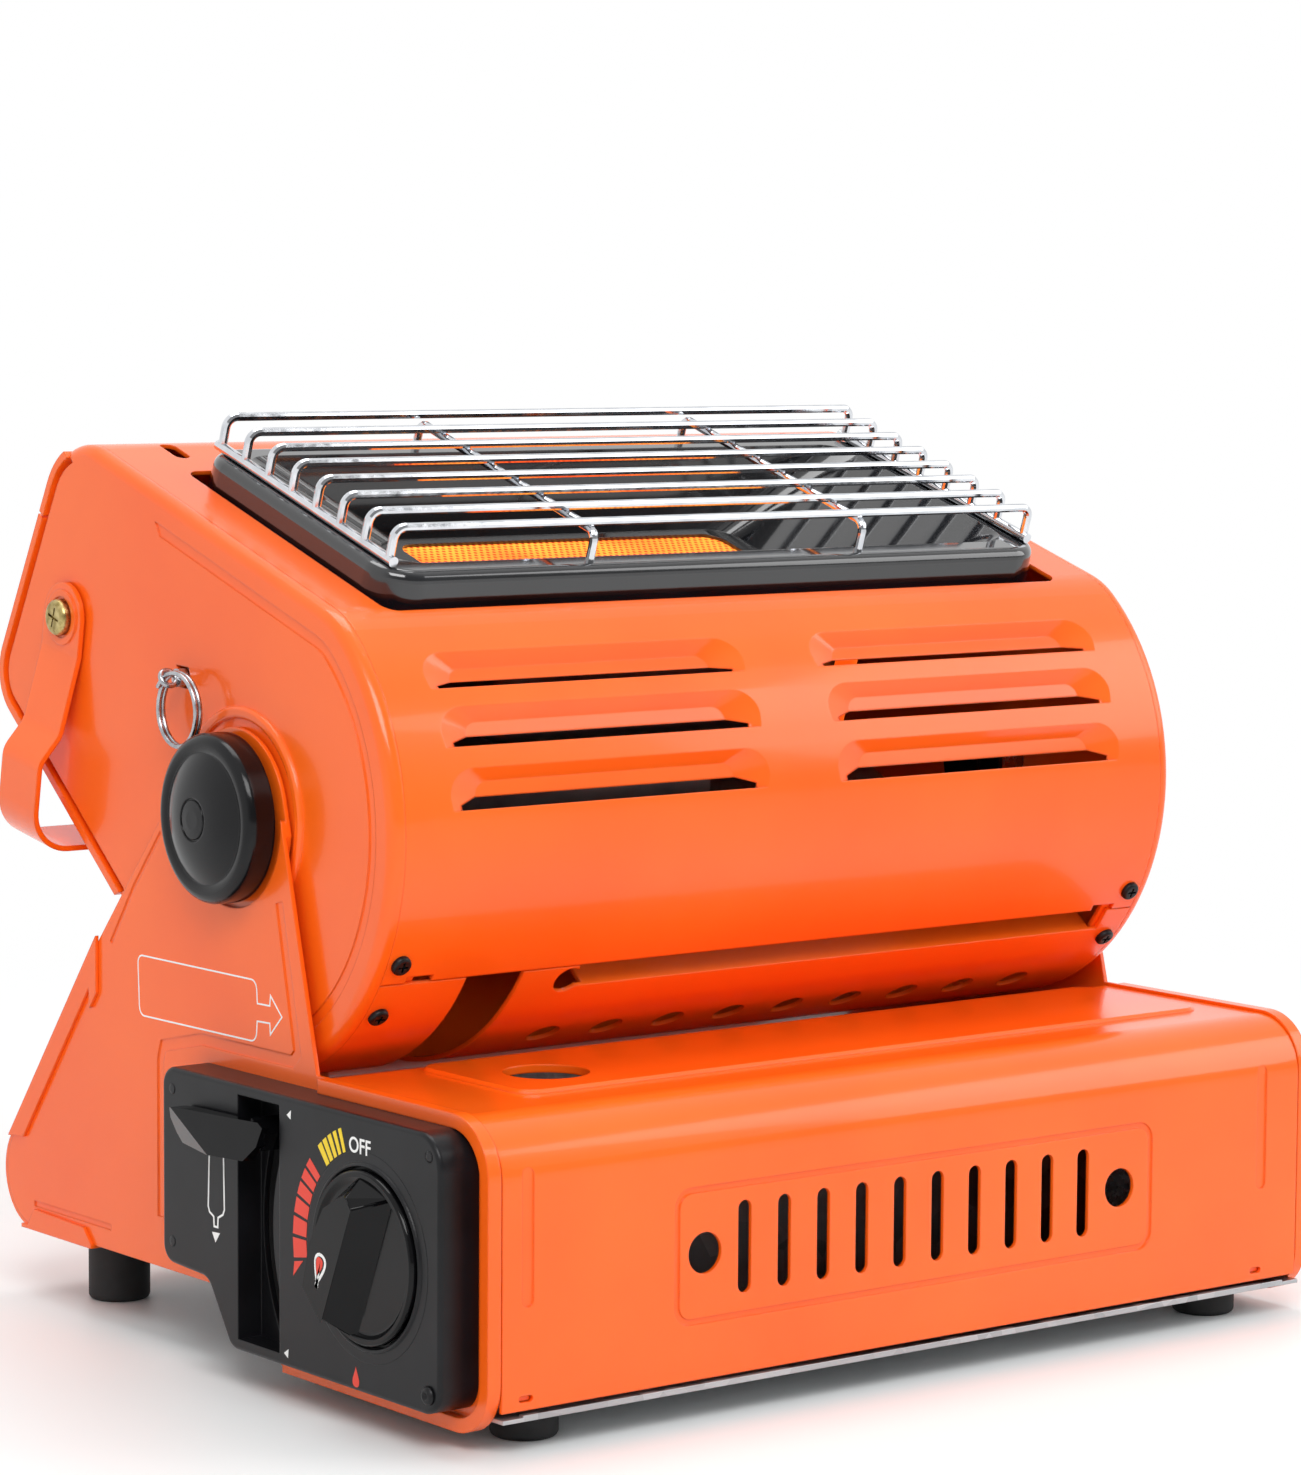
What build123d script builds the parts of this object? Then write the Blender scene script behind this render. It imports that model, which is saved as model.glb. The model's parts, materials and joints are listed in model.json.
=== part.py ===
from build123d import *
import os
from math import atan2, cos, degrees, radians, sin, sqrt, tan

os.makedirs("parts", exist_ok=True)

# Portable gas heater with a tilting burner head, in millimetres.
# X runs along the width (control panel at -X), the lid faces -Y and +Z is up.
# Until the last step the pivot axis of the head lies on Y = 0 and the feet stand on Z = 0.

# ---- driving dimensions ----
SHEET = 1.2                  # painted sheet steel
PIVOT_Z = 143.8              # height of the head's pivot
REST_TILT = 18.3             # how far the stored head leans forward from level
TILT_SPAN = 90.0             # from deck level to deck facing forward
DRUM_R = 68.0                # outside radius of the head's drum
HEAD_HALF = 132.5            # half of the head's width
DECK_Z = 64.4                # flat top of the head, above the pivot
PLATE_X = 136.2              # outer face of each base end plate
STANCHION_R = 23.0           # round top of each upright
SEAT_R = 24.6                # dished seat in each upright, round the pivot
SEAT_X = 134.6               # outer face of the seat's floor
LID_HALF = 134.6
LID_FRONT_Y = -117.4
LID_REAR_Y = -41.0
LID_BOTTOM_Z = 10.8
LID_TOP_Z = 81.4
HINGE_Y = -115.0             # the lid tips forward about two studs near its front edge
HINGE_Z = 12.8
STUD_R = 0.9
TRAY_Z = 8.4                 # underside of the tray under the cartridge bay
REAR_FLOOR_Z = 21.0          # underside of the tray under the rear compartment
CARTRIDGE_R = 34.0
CARTRIDGE_Y = -79.0          # axis shared by the cartridge, the valve and the knob
CARTRIDGE_Z = 44.0
PANEL_OUT = 147.7            # front face of the control panel
KNOB_R = 23.4
KNOB_LEAN = 23.0             # the grip bar leans forward at full flame
BUTTON_R = 22.0
BUTTON_TRAVEL = 2.0
PAN_Y = 31.0                 # centre of the drip pan, behind the pivot in the level head
PAN_WIDTH = 226.0
PAN_DEPTH = 95.0
PAN_TOP = 72.0
GRILL_TOP = 82.0
LOUVRE_ANGLES = (23.7, 37.2, 50.4)
SLOT_PITCH = 12.75
RUN_FIT = 0.06               # radial clearance of a turning or sliding fit
GAS_R = 3.0                  # outside radius of the gas pipe
GAS_X_LOW = -108.0           # where the pipe leaves the valve
GAS_Z_LOW = 38.0
INDEX_X = -120.0             # inner face of the index plate on the left pivot

HEAD_AT = Pos(0, 0, PIVOT_Z) * Rot(REST_TILT, 0, 0)
nodes = {}


# ---- small tools ----
def yz(sketch, x0, x1):
    """Extrude a drawing made in the Y-Z plane from x0 to x1."""
    return extrude(Plane.YZ.offset(min(x0, x1)) * sketch, amount=abs(x1 - x0), dir=(1, 0, 0))


def block(x0, x1, y0, y1, z0, z1):
    centre = Pos((x0 + x1) / 2, (y0 + y1) / 2, (z0 + z1) / 2)
    return centre * Box(abs(x1 - x0), abs(y1 - y0), abs(z1 - z0))


def rod_x(radius, x0, x1, y=0.0, z=0.0):
    return Pos((x0 + x1) / 2, y, z) * Rot(0, 90, 0) * Cylinder(radius, abs(x1 - x0))


def tube_x(outer, inner, x0, x1, y=0.0, z=0.0):
    return rod_x(outer, x0, x1, y, z) - rod_x(inner, x0 - 1, x1 + 1, y, z)


def rod_z(radius, z0, z1, x=0.0, y=0.0):
    return Pos(x, y, (z0 + z1) / 2) * Cylinder(radius, abs(z1 - z0))


def poly(*points):
    return Polygon(*points, align=None)


def rounded_poly(points, radii):
    """Polygon whose listed corners, given as {index: radius}, are rounded."""
    face = poly(*points)
    for index, radius in radii.items():
        y, z = points[index]
        near = face.vertices().sort_by_distance((y, z, 0))[0]
        face = fillet(near, radius)
    return face


def wedge(low, high, reach=230.0):
    """Sector about the origin; angles count up from the front (-Y)."""
    steps = max(2, int((high - low) / 45) + 1)
    rim = [low + (high - low) * i / steps for i in range(steps + 1)]
    return poly((0, 0), *[(-reach * cos(radians(a)), reach * sin(radians(a))) for a in rim])


def drum_point(radius, angle):
    return (-radius * cos(radians(angle)), radius * sin(radians(angle)))


def drum_plane(angle, radius=DRUM_R, x=0.0):
    """Plane that touches the drum at an angle: its X runs along the heater, its Z outwards."""
    y, z = drum_point(radius, angle)
    return Plane(origin=(x, y, z), x_dir=(1, 0, 0), z_dir=(0, -cos(radians(angle)), sin(radians(angle))))


def both_sides(part):
    return part + mirror(part, about=Plane.YZ)


def pan_screw(head_r=3.4, head_h=1.9, shank_r=1.5, length=6.0):
    """Cross-recessed pan-head screw: head above Z = 0, shank below."""
    head = rod_z(head_r, 0, head_h)
    head = fillet(head.edges().group_by(Axis.Z)[-1], head_h * 0.6)
    recess = block(-head_r * 0.55, head_r * 0.55, -0.35, 0.35, head_h - 0.8, head_h + 1)
    return head - recess - Rot(0, 0, 90) * recess + rod_z(shank_r, -length, 0)


# ---- the head's outline, level, about its pivot ----
def head_profile():
    front = (-sqrt(DRUM_R ** 2 - DECK_Z ** 2), DECK_Z)
    rear_top = (114.8, DECK_Z)
    rear_low = (128.9, -15.5)
    under = drum_point(DRUM_R, -137.7)
    start = degrees(atan2(front[1], -front[0]))
    middle = drum_point(DRUM_R, (start - 137.7) / 2)
    outline = ThreePointArc(front, middle, under).edges() + Polyline(under, rear_low, rear_top, front).edges()
    face = make_face(outline)
    for corner, radius in ((rear_top, 20.0), (rear_low, 14.0), (front, 25.0)):
        near = face.vertices().sort_by_distance((corner[0], corner[1], 0))[0]
        face = fillet(near, radius)
    return face


PROFILE = head_profile()
INSIDE = offset(PROFILE, amount=-SHEET)
INSIDE_2 = offset(PROFILE, amount=-2 * SHEET)
SKIN = PROFILE - INSIDE
HANDLE_PIVOT = (96.7, 16.6)
LOCK_PIN = (37.0, 23.4)

CASE_SCREWS = [drum_plane(angle, DRUM_R, x) for x in (-124.6, 124.6) for angle in (-9.8, -24.4, -118.0)]


def case_holes():
    holes = Part()
    for plane in CASE_SCREWS:
        holes += extrude(plane * Circle(1.2), amount=8, both=True)
    return holes


# ---- head shells ----
BORDER_WIDTH = 4.2           # sunk border along the back and the underside of each side plate
BORDER_FLOOR_X = -129.2
HEM = 2.2                    # folded edge of the sheets beside that border
HEM_X = 133.0
SHEET_EDGE = HEAD_HALF - 4.0
BORDER = PROFILE & wedge(152.0, 222.0)


def hems(low, high):
    """Folded side edges of a sheet over the sunk border, from one angle to another."""
    zone = wedge(low, high)
    fold = (INSIDE - offset(PROFILE, amount=-HEM)) & zone
    return both_sides(yz(SKIN & zone, -HEM_X, -SHEET_EDGE + 0.5) + yz(fold, -HEM_X, BORDER_FLOOR_X - 0.2))


def head_side_left():
    """Pressed side plate: rounded rim, joggled flange under the sheets, bead round the pivot."""
    rim_x = -HEAD_HALF + 4.0
    side = yz(PROFILE, -HEAD_HALF, rim_x)
    side = fillet(side.faces().sort_by(Axis.X)[0].edges(), 3.2)
    side -= yz(INSIDE, -HEAD_HALF + SHEET, rim_x + 1)
    side += yz(INSIDE - INSIDE_2, -HEAD_HALF + SHEET, -118.0)
    groove = offset(PROFILE, amount=-7.4) - offset(PROFILE, amount=-10.4)
    side -= yz(groove & wedge(-58.0, 138.0), -HEAD_HALF - 1, -HEAD_HALF + 0.4)
    side -= yz(BORDER - offset(PROFILE, amount=-BORDER_WIDTH), -HEAD_HALF - 1, BORDER_FLOOR_X + SHEET)
    wall = offset(PROFILE, amount=-BORDER_WIDTH) - offset(PROFILE, amount=-BORDER_WIDTH - SHEET)
    side += yz(wall & BORDER, -HEAD_HALF, BORDER_FLOOR_X + SHEET)
    floor = INSIDE - offset(PROFILE, amount=-BORDER_WIDTH - SHEET)
    side += yz(floor & BORDER, BORDER_FLOOR_X, BORDER_FLOOR_X + SHEET)
    bead = tube_x(28.4, 25.2, -HEAD_HALF - 1.2, -HEAD_HALF + 0.5)
    side += fillet(bead.edges().group_by(Axis.X)[0], 1.1)
    side -= rod_x(8.0 + RUN_FIT, -140, -120)
    side -= rod_x(2.1, -140, -120, *HANDLE_PIVOT)
    diamond = Pos(*LOCK_PIN) * Rot(0, 0, 20) * poly((-5, 0), (0, -3.4), (5, 0), (0, 3.4))
    side -= yz(diamond, -140, -120)
    return side - case_holes()


LOUVRE_LENGTH = 102.0
LOUVRE_HEIGHT = 10.7
LOUVRE_DEPTH = 3.2
LOUVRE_END_SLOPE = 9.5       # how far each sloping end reaches along the louvre
LOUVRE_TOP_SLOPE = 3.6
LOUVRE_WALL = 0.9


def louvre(angle, x):
    """One louvre pressed inwards, open along its lower edge: (pocket, sheet round it)."""
    at = drum_plane(angle + degrees(LOUVRE_HEIGHT / 2 / DRUM_R), DRUM_R, x)
    cut_y = -LOUVRE_HEIGHT / 2

    def scoop(grow):
        def section(depth, more):
            length = LOUVRE_LENGTH + 2 * (grow + more * LOUVRE_END_SLOPE)
            height = 2 * (LOUVRE_HEIGHT + grow + more * LOUVRE_TOP_SLOPE)
            rounded = RectangleRounded(length, height, 7.5 + grow + LOUVRE_TOP_SLOPE * more)
            return at.offset(-depth) * Pos(0, cut_y) * rounded

        spill = 0.2
        return loft([section(-spill * LOUVRE_DEPTH, spill), section(LOUVRE_DEPTH + grow, -1.0)])

    reach = LOUVRE_LENGTH / 2 + 15
    side = Plane(origin=at.from_local_coords((-reach, cut_y, 0)), x_dir=at.y_dir, z_dir=at.x_dir)
    above = extrude(side * poly((0, 3), (0, -9), (20, -9), (20, 3)), amount=2 * reach)
    mouth = extrude(side * poly((0, 3), (0, 0), (9, -9), (20, -9), (20, 3)), amount=2 * reach)
    pocket = scoop(0) & above
    wall = (scoop(LOUVRE_WALL) & mouth & yz(PROFILE, -SHEET_EDGE, SHEET_EDGE)) - scoop(0)
    return pocket, wall


DECK_OPENING = (229.2, 100.5)
DECK_OPENING_Y = 29.75
DECK_SLOT = (108.6, 95.6)    # one slot each side behind the pan


def head_wrapper():
    """Louvred sheet over the drum's front, the flat deck and the top of the back."""
    sheet = yz(SKIN & wedge(-15.0, 162.0), -SHEET_EDGE, SHEET_EDGE) + hems(152.4, 162.0)
    pockets = Part()
    for x in (-63.5, 61.9):
        for angle in LOUVRE_ANGLES:
            pocket, wall = louvre(angle, x)
            sheet += wall
            pockets += pocket
    sheet -= pockets
    opening = RectangleRounded(*DECK_OPENING, 4)
    sheet -= Pos(0, DECK_OPENING_Y, DECK_Z) * extrude(opening, amount=4, both=True)
    slot = extrude(Rot(0, 0, 90) * SlotOverall(11.5, 4.6), amount=3, both=True)
    for x in (-DECK_SLOT[0], DECK_SLOT[0]):
        sheet -= Pos(x, DECK_SLOT[1], DECK_Z) * slot
    notch = wedge(-16.0, -13.4) - wedge(-16.0, -13.4, 50)
    sheet -= both_sides(yz(notch, -121, -113))
    return sheet - case_holes()


def head_lower_shell():
    """Lower half of the drum with the slot for the gas pipe and the row of air holes."""
    shell = yz(SKIN & wedge(-137.2, -15.4), -SHEET_EDGE, SHEET_EDGE)
    shell -= yz(wedge(-114.0, -10.0), -102.0, -84.0)
    shell -= yz(wedge(-21.5, -10.0), -66.0, 119.5)
    keyhole = drum_plane(-19.4, DRUM_R, -68.0)
    shell -= extrude(keyhole * Circle(4.2), amount=4, both=True)
    for i in range(9):
        hole = drum_plane(-41.5, DRUM_R, -61.5 + i * 20.7)
        shell -= extrude(hole * Circle(4.6), amount=4, both=True)
    fold = (offset(PROFILE, amount=-1.0) - offset(PROFILE, amount=-7.0)) & wedge(-22.6, -21.5)
    shell += yz(fold, -62.0, 117.0)
    return shell - case_holes()


REAR_BEADS = (-2.0, 22.0)    # heights of the two stiffening beads


def head_rear_panel():
    panel = yz(SKIN & wedge(162.4, 221.9), -SHEET_EDGE, SHEET_EDGE) + hems(162.4, 221.8)
    limit = yz(PROFILE + offset(PROFILE, amount=0.9), -100, 100)
    for z in REAR_BEADS:
        bead = Pos(0, 125.2 - 0.176 * (z - 3), z) * Rot(0, 90, 0) * Cylinder(1.6, 190)
        panel += bead & limit
    return panel


# ---- burner ----
PAN_SKIRT = 58.0             # the rim's wall reaches this far down behind the deck


def reflector_pan():
    """Drawn enamel pan: rim standing in the deck's opening, sloping walls and a window."""
    at = Pos(0, PAN_Y, 0)

    def skirt(shrink, height):
        outer = RectangleRounded(PAN_WIDTH + 0.9 - shrink, PAN_DEPTH + 0.9 - shrink, 12 - shrink / 2)
        return at * Pos(0, 0, PAN_SKIRT) * extrude(outer, amount=height, taper=4)

    rim = skirt(0, PAN_TOP - PAN_SKIRT)
    rim = fillet(rim.edges().group_by(Axis.Z)[-1], 3.0)
    rim -= skirt(2 * SHEET, PAN_TOP - PAN_SKIRT - SHEET)
    ledge = block(-117.5, 117.5, PAN_Y - 20, PAN_Y + 20, DECK_Z - 2.2, DECK_Z - SHEET)
    rim += ledge - block(-112, 112, -40, 100, 50, 70)

    def dish(wall):
        top = at * Pos(0, 0, PAN_TOP) * RectangleRounded(PAN_WIDTH - 16 + wall, PAN_DEPTH - 16 + wall, 9)
        low = at * Pos(0, 0, 49.0 - wall / 2) * RectangleRounded(124 + wall, 66 + wall, 8)
        return loft([low, top])

    pan = rim + dish(2.0) - dish(0.0)
    pan -= at * Pos(0, 0, 46) * extrude(RectangleRounded(112, 60, 6), amount=6)
    pan -= Pos(SPARK_X, SPARK_Y + 5, SPARK_Z) * Rot(90, 0, 0) * Cylinder(2.4, 14)
    mouth = RectangleRounded(PAN_WIDTH - 16, PAN_DEPTH - 16, 9)
    pan -= at * Pos(0, 0, PAN_TOP - 0.01) * extrude(mouth, amount=3)
    return pan


def burner_plate():
    return Pos(0, PAN_Y, 34.8) * extrude(RectangleRounded(119, 67, 7), amount=13.1)


def burner_box():
    """Drawn box that feeds gas and air to the back of the ceramic plate."""
    at = Pos(0, PAN_Y, 0)
    box = at * Pos(0, 0, 16) * extrude(RectangleRounded(122, 70, 9), amount=31.8)
    box = fillet(box.edges().group_by(Axis.Z)[0], 4)
    box -= at * Pos(0, 0, 34.8) * extrude(RectangleRounded(119.4, 67.4, 7.2), amount=20)
    box -= at * Pos(0, 0, 17.2) * extrude(RectangleRounded(112, 60, 5), amount=20)
    return box - riser(8.0)


def riser(radius):
    """Slanting neck from the mixing tube on the pivot axis up into the burner box."""
    direction = Vector(0, 20, 22).normalized()
    at = Plane(origin=(6, 0, 0), x_dir=(1, 0, 0), z_dir=direction)
    return extrude(at * Circle(radius), amount=30)


def mixing_tube():
    """Venturi tube on the pivot axis with two air windows next to the injector."""
    tube = rod_x(8.0, -86, 15) + riser(8.0)
    tube -= rod_x(7.0, -84.5, 13.5) + riser(7.0)
    tube -= block(-81, -71, -12, 12, -3.2, 3.2)
    tube -= rod_x(3.5, -90, -80)
    return tube & block(-90, 20, -30, 60, -20, 16.6)


def injector():
    """Brass injector: its left end turns in the pipe union, its hexagon sits on the mixing tube."""
    body = rod_x(3.0, -97, -87) + rod_x(3.45, -87, -83)
    hexagon = Pos(-86.9, 0, 0) * Rot(0, 90, 0) * extrude(RegularPolygon(5.4, 6), amount=0.9)
    nozzle = Pos(-80.5, 0, 0) * Rot(0, 90, 0) * Cone(3.2, 1.2, 5)
    return body + hexagon + nozzle - rod_x(0.6, -100, -70)


def heat_shield():
    """Bent plate between the burner and the head's underside."""
    outer = rounded_poly([(-38, 12), (-38, 8), (-10, -22), (84, -12), (84, 10)], {2: 10.0, 3: 6.0})
    inner = [(-36.9, 12), (-36.9, 8.5), (-9.6, -20.8), (82.9, -10.8), (82.9, 10)]
    inner = rounded_poly(inner, {2: 9.0, 3: 5.0})
    return yz(outer - inner - Pos(0, 12) * Rectangle(200, 3), -60, 112)


SPARK_X = 52.0
SPARK_Y = PAN_Y - 41.0
SPARK_Z = 52.0


def ignition_electrode():
    """Ceramic insulator with a bent spark wire over the plate."""
    ceramic = Pos(SPARK_X, SPARK_Y, 0) * (rod_z(3.0, 18, 46) + rod_z(4.2, 26, 32))
    bend = (SPARK_X, SPARK_Y, SPARK_Z)
    return ceramic + bent_wire([(SPARK_X, SPARK_Y, 44.0), bend, (SPARK_X, SPARK_Y + 15, SPARK_Z)], 0.8, 2.0)


# ---- wire grill ----
BAR_R = 1.2
BAR_SIDES = 10
BAR_COUNT = 8
BAR_PITCH = 11.8
BAR_HALF = 108.4
GRILL_Y = 32.5
SIDE_ROD_R = 1.4
SIDE_ROD_Z = PAN_TOP + SIDE_ROD_R


def bent_line(points, bends):
    """Line through 3-D points whose inner corners are arcs; `bends` is one radius or one per corner."""
    corners = [Vector(*p) for p in points]
    if not isinstance(bends, (list, tuple)):
        bends = [bends] * (len(corners) - 2)
    parts = []
    last = corners[0]
    for before, corner, after, bend in zip(corners, corners[1:], corners[2:], bends):
        inward = (before - corner).normalized()
        onward = (after - corner).normalized()
        half = radians(inward.get_angle(onward)) / 2
        cut = bend / tan(half)
        middle = (inward + onward).normalized() * (bend / sin(half) - bend)
        parts.append(Line(last, corner + inward * cut))
        last = corner + onward * cut
        parts.append(ThreePointArc(corner + inward * cut, corner + middle, last))
    parts.append(Line(last, corners[-1]))
    return Wire([edge for part in parts for edge in part.edges()])


def bent_wire(points, radius, bend, sides=0):
    """Wire along bent points, round or, where many are needed, with a number of flats."""
    path = bent_line(points, bend)
    start = Plane(origin=path @ 0, z_dir=path % 0)
    section = RegularPolygon(radius, sides) if sides else Circle(radius)
    return sweep(start * section, path=path)


def wire_grill():
    """Eight staple-shaped bars on two side rods, tied by two cross wires with bent legs."""
    grill = Part()
    first = GRILL_Y - BAR_PITCH * (BAR_COUNT - 1) / 2
    for i in range(BAR_COUNT):
        y = first + i * BAR_PITCH
        points = [(-BAR_HALF, y, SIDE_ROD_Z), (-BAR_HALF, y, GRILL_TOP), (BAR_HALF, y, GRILL_TOP)]
        grill += bent_wire(points + [(BAR_HALF, y, SIDE_ROD_Z)], BAR_R, 3.0, BAR_SIDES)
    span = BAR_PITCH * (BAR_COUNT - 1) / 2
    for x in (-BAR_HALF, BAR_HALF):
        grill += Pos(x, GRILL_Y, SIDE_ROD_Z) * Rot(90, 0, 0) * Cylinder(SIDE_ROD_R, 2 * span + 4)
    tie_z = GRILL_TOP - BAR_R * 1.7
    for x in (-46.0, 46.0):
        ends = (GRILL_Y - 43.5, GRILL_Y + 40.5)
        points = [(x, ends[0], PAN_TOP), (x, ends[0], tie_z), (x, ends[1], tie_z), (x, ends[1], PAN_TOP)]
        grill += bent_wire(points, BAR_R, 3.0, BAR_SIDES)
    return grill


# ---- handle, lock pin and ring ----
HANDLE_LEAN = -8.3
HANDLE_REACH = 62.0
HANDLE_NEAR = HEAD_HALF + 0.6  # inner face of the strap's ends
HANDLE_WIDE = 142.4          # inner face of the strap below the crank
STRAP_HALF = 9.5
STRAP = 1.5


def handle():
    """Strap bail: a cranked strap each side and a flat cross piece behind the head."""
    near = HANDLE_NEAR + STRAP / 2
    wide = HANDLE_WIDE + STRAP / 2
    low = -HANDLE_REACH - STRAP / 2
    half = [(near, 0), (near, -STRAP_HALF), (near + 3.8, -31.0), (wide, -38.5), (wide, low)]
    points = [(-x, 0, z) for x, z in half] + [(x, 0, z) for x, z in reversed(half)]
    path = bent_line(points, [4.0, 6.0, 6.0, 11.0, 11.0, 6.0, 6.0, 4.0])
    start = Plane(origin=path @ 0, x_dir=(0, 1, 0), z_dir=path % 0)
    strap = sweep(start * Rectangle(2 * STRAP_HALF, STRAP), path=path)
    ring = tube_x(7.6, 5.6, -HANDLE_NEAR - STRAP - 0.5, -HANDLE_NEAR - STRAP)
    strap += both_sides(rod_x(STRAP_HALF, -HANDLE_NEAR - STRAP, -HANDLE_NEAR) + ring)
    strap -= rod_x(3.05, -200, 200)
    return Pos(0, *HANDLE_PIVOT) * Rot(HANDLE_LEAN, 0, 0) * strap


def handle_screws():
    """Shoulder screws that the handle turns on, each with a washer and a nut inside."""
    out = HANDLE_NEAR + STRAP + 0.25
    shoulder = rod_x(3.0, -out, -HEAD_HALF)
    head = Pos(-out, 0, 0) * Rot(0, -90, 0) * pan_screw(5.0, 2.6, 2.0, out - 122)
    nut = Pos(-HEAD_HALF + SHEET, 0, 0) * Rot(0, 90, 0) * extrude(RegularPolygon(4.2, 6), amount=3)
    side = head + shoulder + nut
    return Pos(0, *HANDLE_PIVOT) * both_sides(side)


RING_EYE_X = -137.4
RING_R = 9.6
RING_WIRE = 0.85
RING_SWING = 32.0            # how far the stored ring leans forward of straight down


def lock_pin():
    """Pull pin through the left side plate with an eye for the ring."""
    y, z = LOCK_PIN
    pin = rod_x(2.4, RING_EYE_X + 2.4, INDEX_X, y, z)
    flange = rod_x(4.6, INDEX_X - 3.4, INDEX_X - 2.4, y, z)
    eye = Pos(RING_EYE_X, y, z) * Rot(-REST_TILT - RING_SWING, 0, 0) * Rot(90, 0, 0) * Torus(2.2, 0.75)
    return pin + flange + eye


def pull_ring():
    drop = RING_R - 0.3
    ring = Pos(RING_EYE_X, 0, -drop) * Rot(0, 90, 0) * Torus(RING_R, RING_WIRE)
    return Pos(0, *LOCK_PIN) * Rot(-REST_TILT - RING_SWING, 0, 0) * ring


def coil(wire, radius, turns, length):
    """Coil spring; its wire has six flats to keep it light."""
    path = Helix(pitch=length / turns, height=length, radius=radius)
    start = Plane(origin=path @ 0, z_dir=path % 0)
    return sweep(start * RegularPolygon(wire, 6), path=path)


def lock_spring():
    """Coil between the pin's flange and the side plate, drawn at its pressed length."""
    y, z = LOCK_PIN
    return Pos(INDEX_X - 7.7, y, z) * Rot(0, 90, 0) * coil(0.42, 3.4, 4, 3.8)


def case_screws():
    """Black screws that hold the wrapper and the lower shell to the side plates."""
    screws = Part()
    for plane in CASE_SCREWS:
        screws += plane * pan_screw(2.7, 1.5, 1.2, 4.0)
    return screws


# ---- base ----
PLATE_OUTLINE_POINTS = [(-117.4, 4.5), (-117.4, 82.2), (-39.8, 82.2), (-22.2, 149.7), (17.3, 159.0),
                        (65.2, 104.6), (130.2, 20.5), (-5.0, 20.5), (-24.0, 4.5)]


def plate_outline():
    face = rounded_poly(PLATE_OUTLINE_POINTS, {0: 13.0, 1: 15.0, 6: 14.4, 7: 8.0, 8: 8.0})
    return face + Pos(0, PIVOT_Z) * Circle(STANCHION_R)


OUTLINE = plate_outline()
LEVER_ARM = 52.0
LEVER_REST = 27.0


def lever_slot(width, low=-33.0, high=32.0):
    """Curved slot about the valve axis, drawn in the Y-Z plane."""
    ring = Circle(LEVER_ARM + width / 2) - Circle(LEVER_ARM - width / 2)
    rays = [radians(a) for a in (low, (low + high) / 2, high)]
    sector = poly((0, 0), *[(90 * cos(a), 90 * sin(a)) for a in rays])
    return Pos(CARTRIDGE_Y, CARTRIDGE_Z) * (ring & sector)


RIM_ZONE = poly((-130, 0), (-130, 90), (-44, 90), (-44, 60), (-90, 12), (-28, 12), (-28, 0))
CHANNELS = (
    # centre line, width
    (((-22.7, 124.2), (-31.0, 86.6), (-28.6, 84.2), (14.0, 84.2), (33.0, 80.0), (34.4, 76.0), (34.4, 34.0)),
     3.2),
    (((33.7, 136.6), (47.1, 121.1), (59.2, 104.4)), 1.2),
    (((59.9, 26.8), (100.5, 26.8)), 1.6),
)
CHANNEL_DEPTH = 0.4


def end_plate(side):
    """Base end plate and upright in one pressing, dished round the pivot."""
    plate = yz(OUTLINE, -PLATE_X, -PLATE_X + SHEET)
    band = (OUTLINE - offset(OUTLINE, amount=-3.6)) & RIM_ZONE
    plate += yz(band, -PLATE_X - 2.6, -PLATE_X + 0.1)
    plate -= rod_x(SEAT_R, -PLATE_X - 1, -PLATE_X + SHEET + 1, 0, PIVOT_Z)
    seat = Pos(0, PIVOT_Z) * Circle(SEAT_R)
    ring = seat - Pos(0, PIVOT_Z) * Circle(SEAT_R - SHEET)
    plate += yz(seat & OUTLINE, -SEAT_X, -SEAT_X + SHEET) + yz(ring & OUTLINE, -PLATE_X, -SEAT_X + SHEET)
    for line, width in CHANNELS:
        plate -= yz(trace(Polyline(*line), line_width=width), -PLATE_X - 1, -PLATE_X + CHANNEL_DEPTH)
    plate -= rod_x(10.0, -140, -130, 0, PIVOT_Z)
    if side < 0:
        plate -= yz(lever_slot(10.5), -140, -130)
        plate -= rod_x(12.4, -140, -130, CARTRIDGE_Y, CARTRIDGE_Z)
        for y, z in PANEL_SCREWS:
            plate -= rod_x(1.2, -140, -130, y, z)
        return plate
    return mirror(plate, about=Plane.YZ)


TRAY_T = 1.0


def base_tray():
    """Galvanised floor of the whole base, stepped up under the rear compartment."""
    top = [(-118.4, TRAY_Z + TRAY_T), (-25, TRAY_Z + TRAY_T), (-7, REAR_FLOOR_Z + TRAY_T)]
    top.append((104, REAR_FLOOR_Z + TRAY_T))
    low = [(104, REAR_FLOOR_Z), (-6.5, REAR_FLOOR_Z), (-24.5, TRAY_Z), (-118.4, TRAY_Z)]
    half = PLATE_X - SHEET
    tray = yz(poly(*top, *low), -half, half)
    tray += block(-half + 6, half - 6, -118.4, -116.6, TRAY_Z, TRAY_Z + 1.5)
    for x in (-half, half - TRAY_T):
        tray += block(x, x + TRAY_T, 2, 98, REAR_FLOOR_Z, REAR_FLOOR_Z + 10)
    return tray


def bay_partition():
    """Upright wall behind the cartridge bay with the hole for the gas pipe."""
    half = PLATE_X - SHEET
    wall = block(-half, half, -37.2, -36.2, TRAY_Z + TRAY_T, 78.0)
    wall += block(-132.0, 132.0, -43.0, -36.2, 77.0, 78.0)
    wall -= Pos(GAS_X_LOW, -37, GAS_Z_LOW) * Rot(90, 0, 0) * Cylinder(5.0, 6)
    return wall - block(-140, -127.5, -40, -30, 28, 74)


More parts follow.
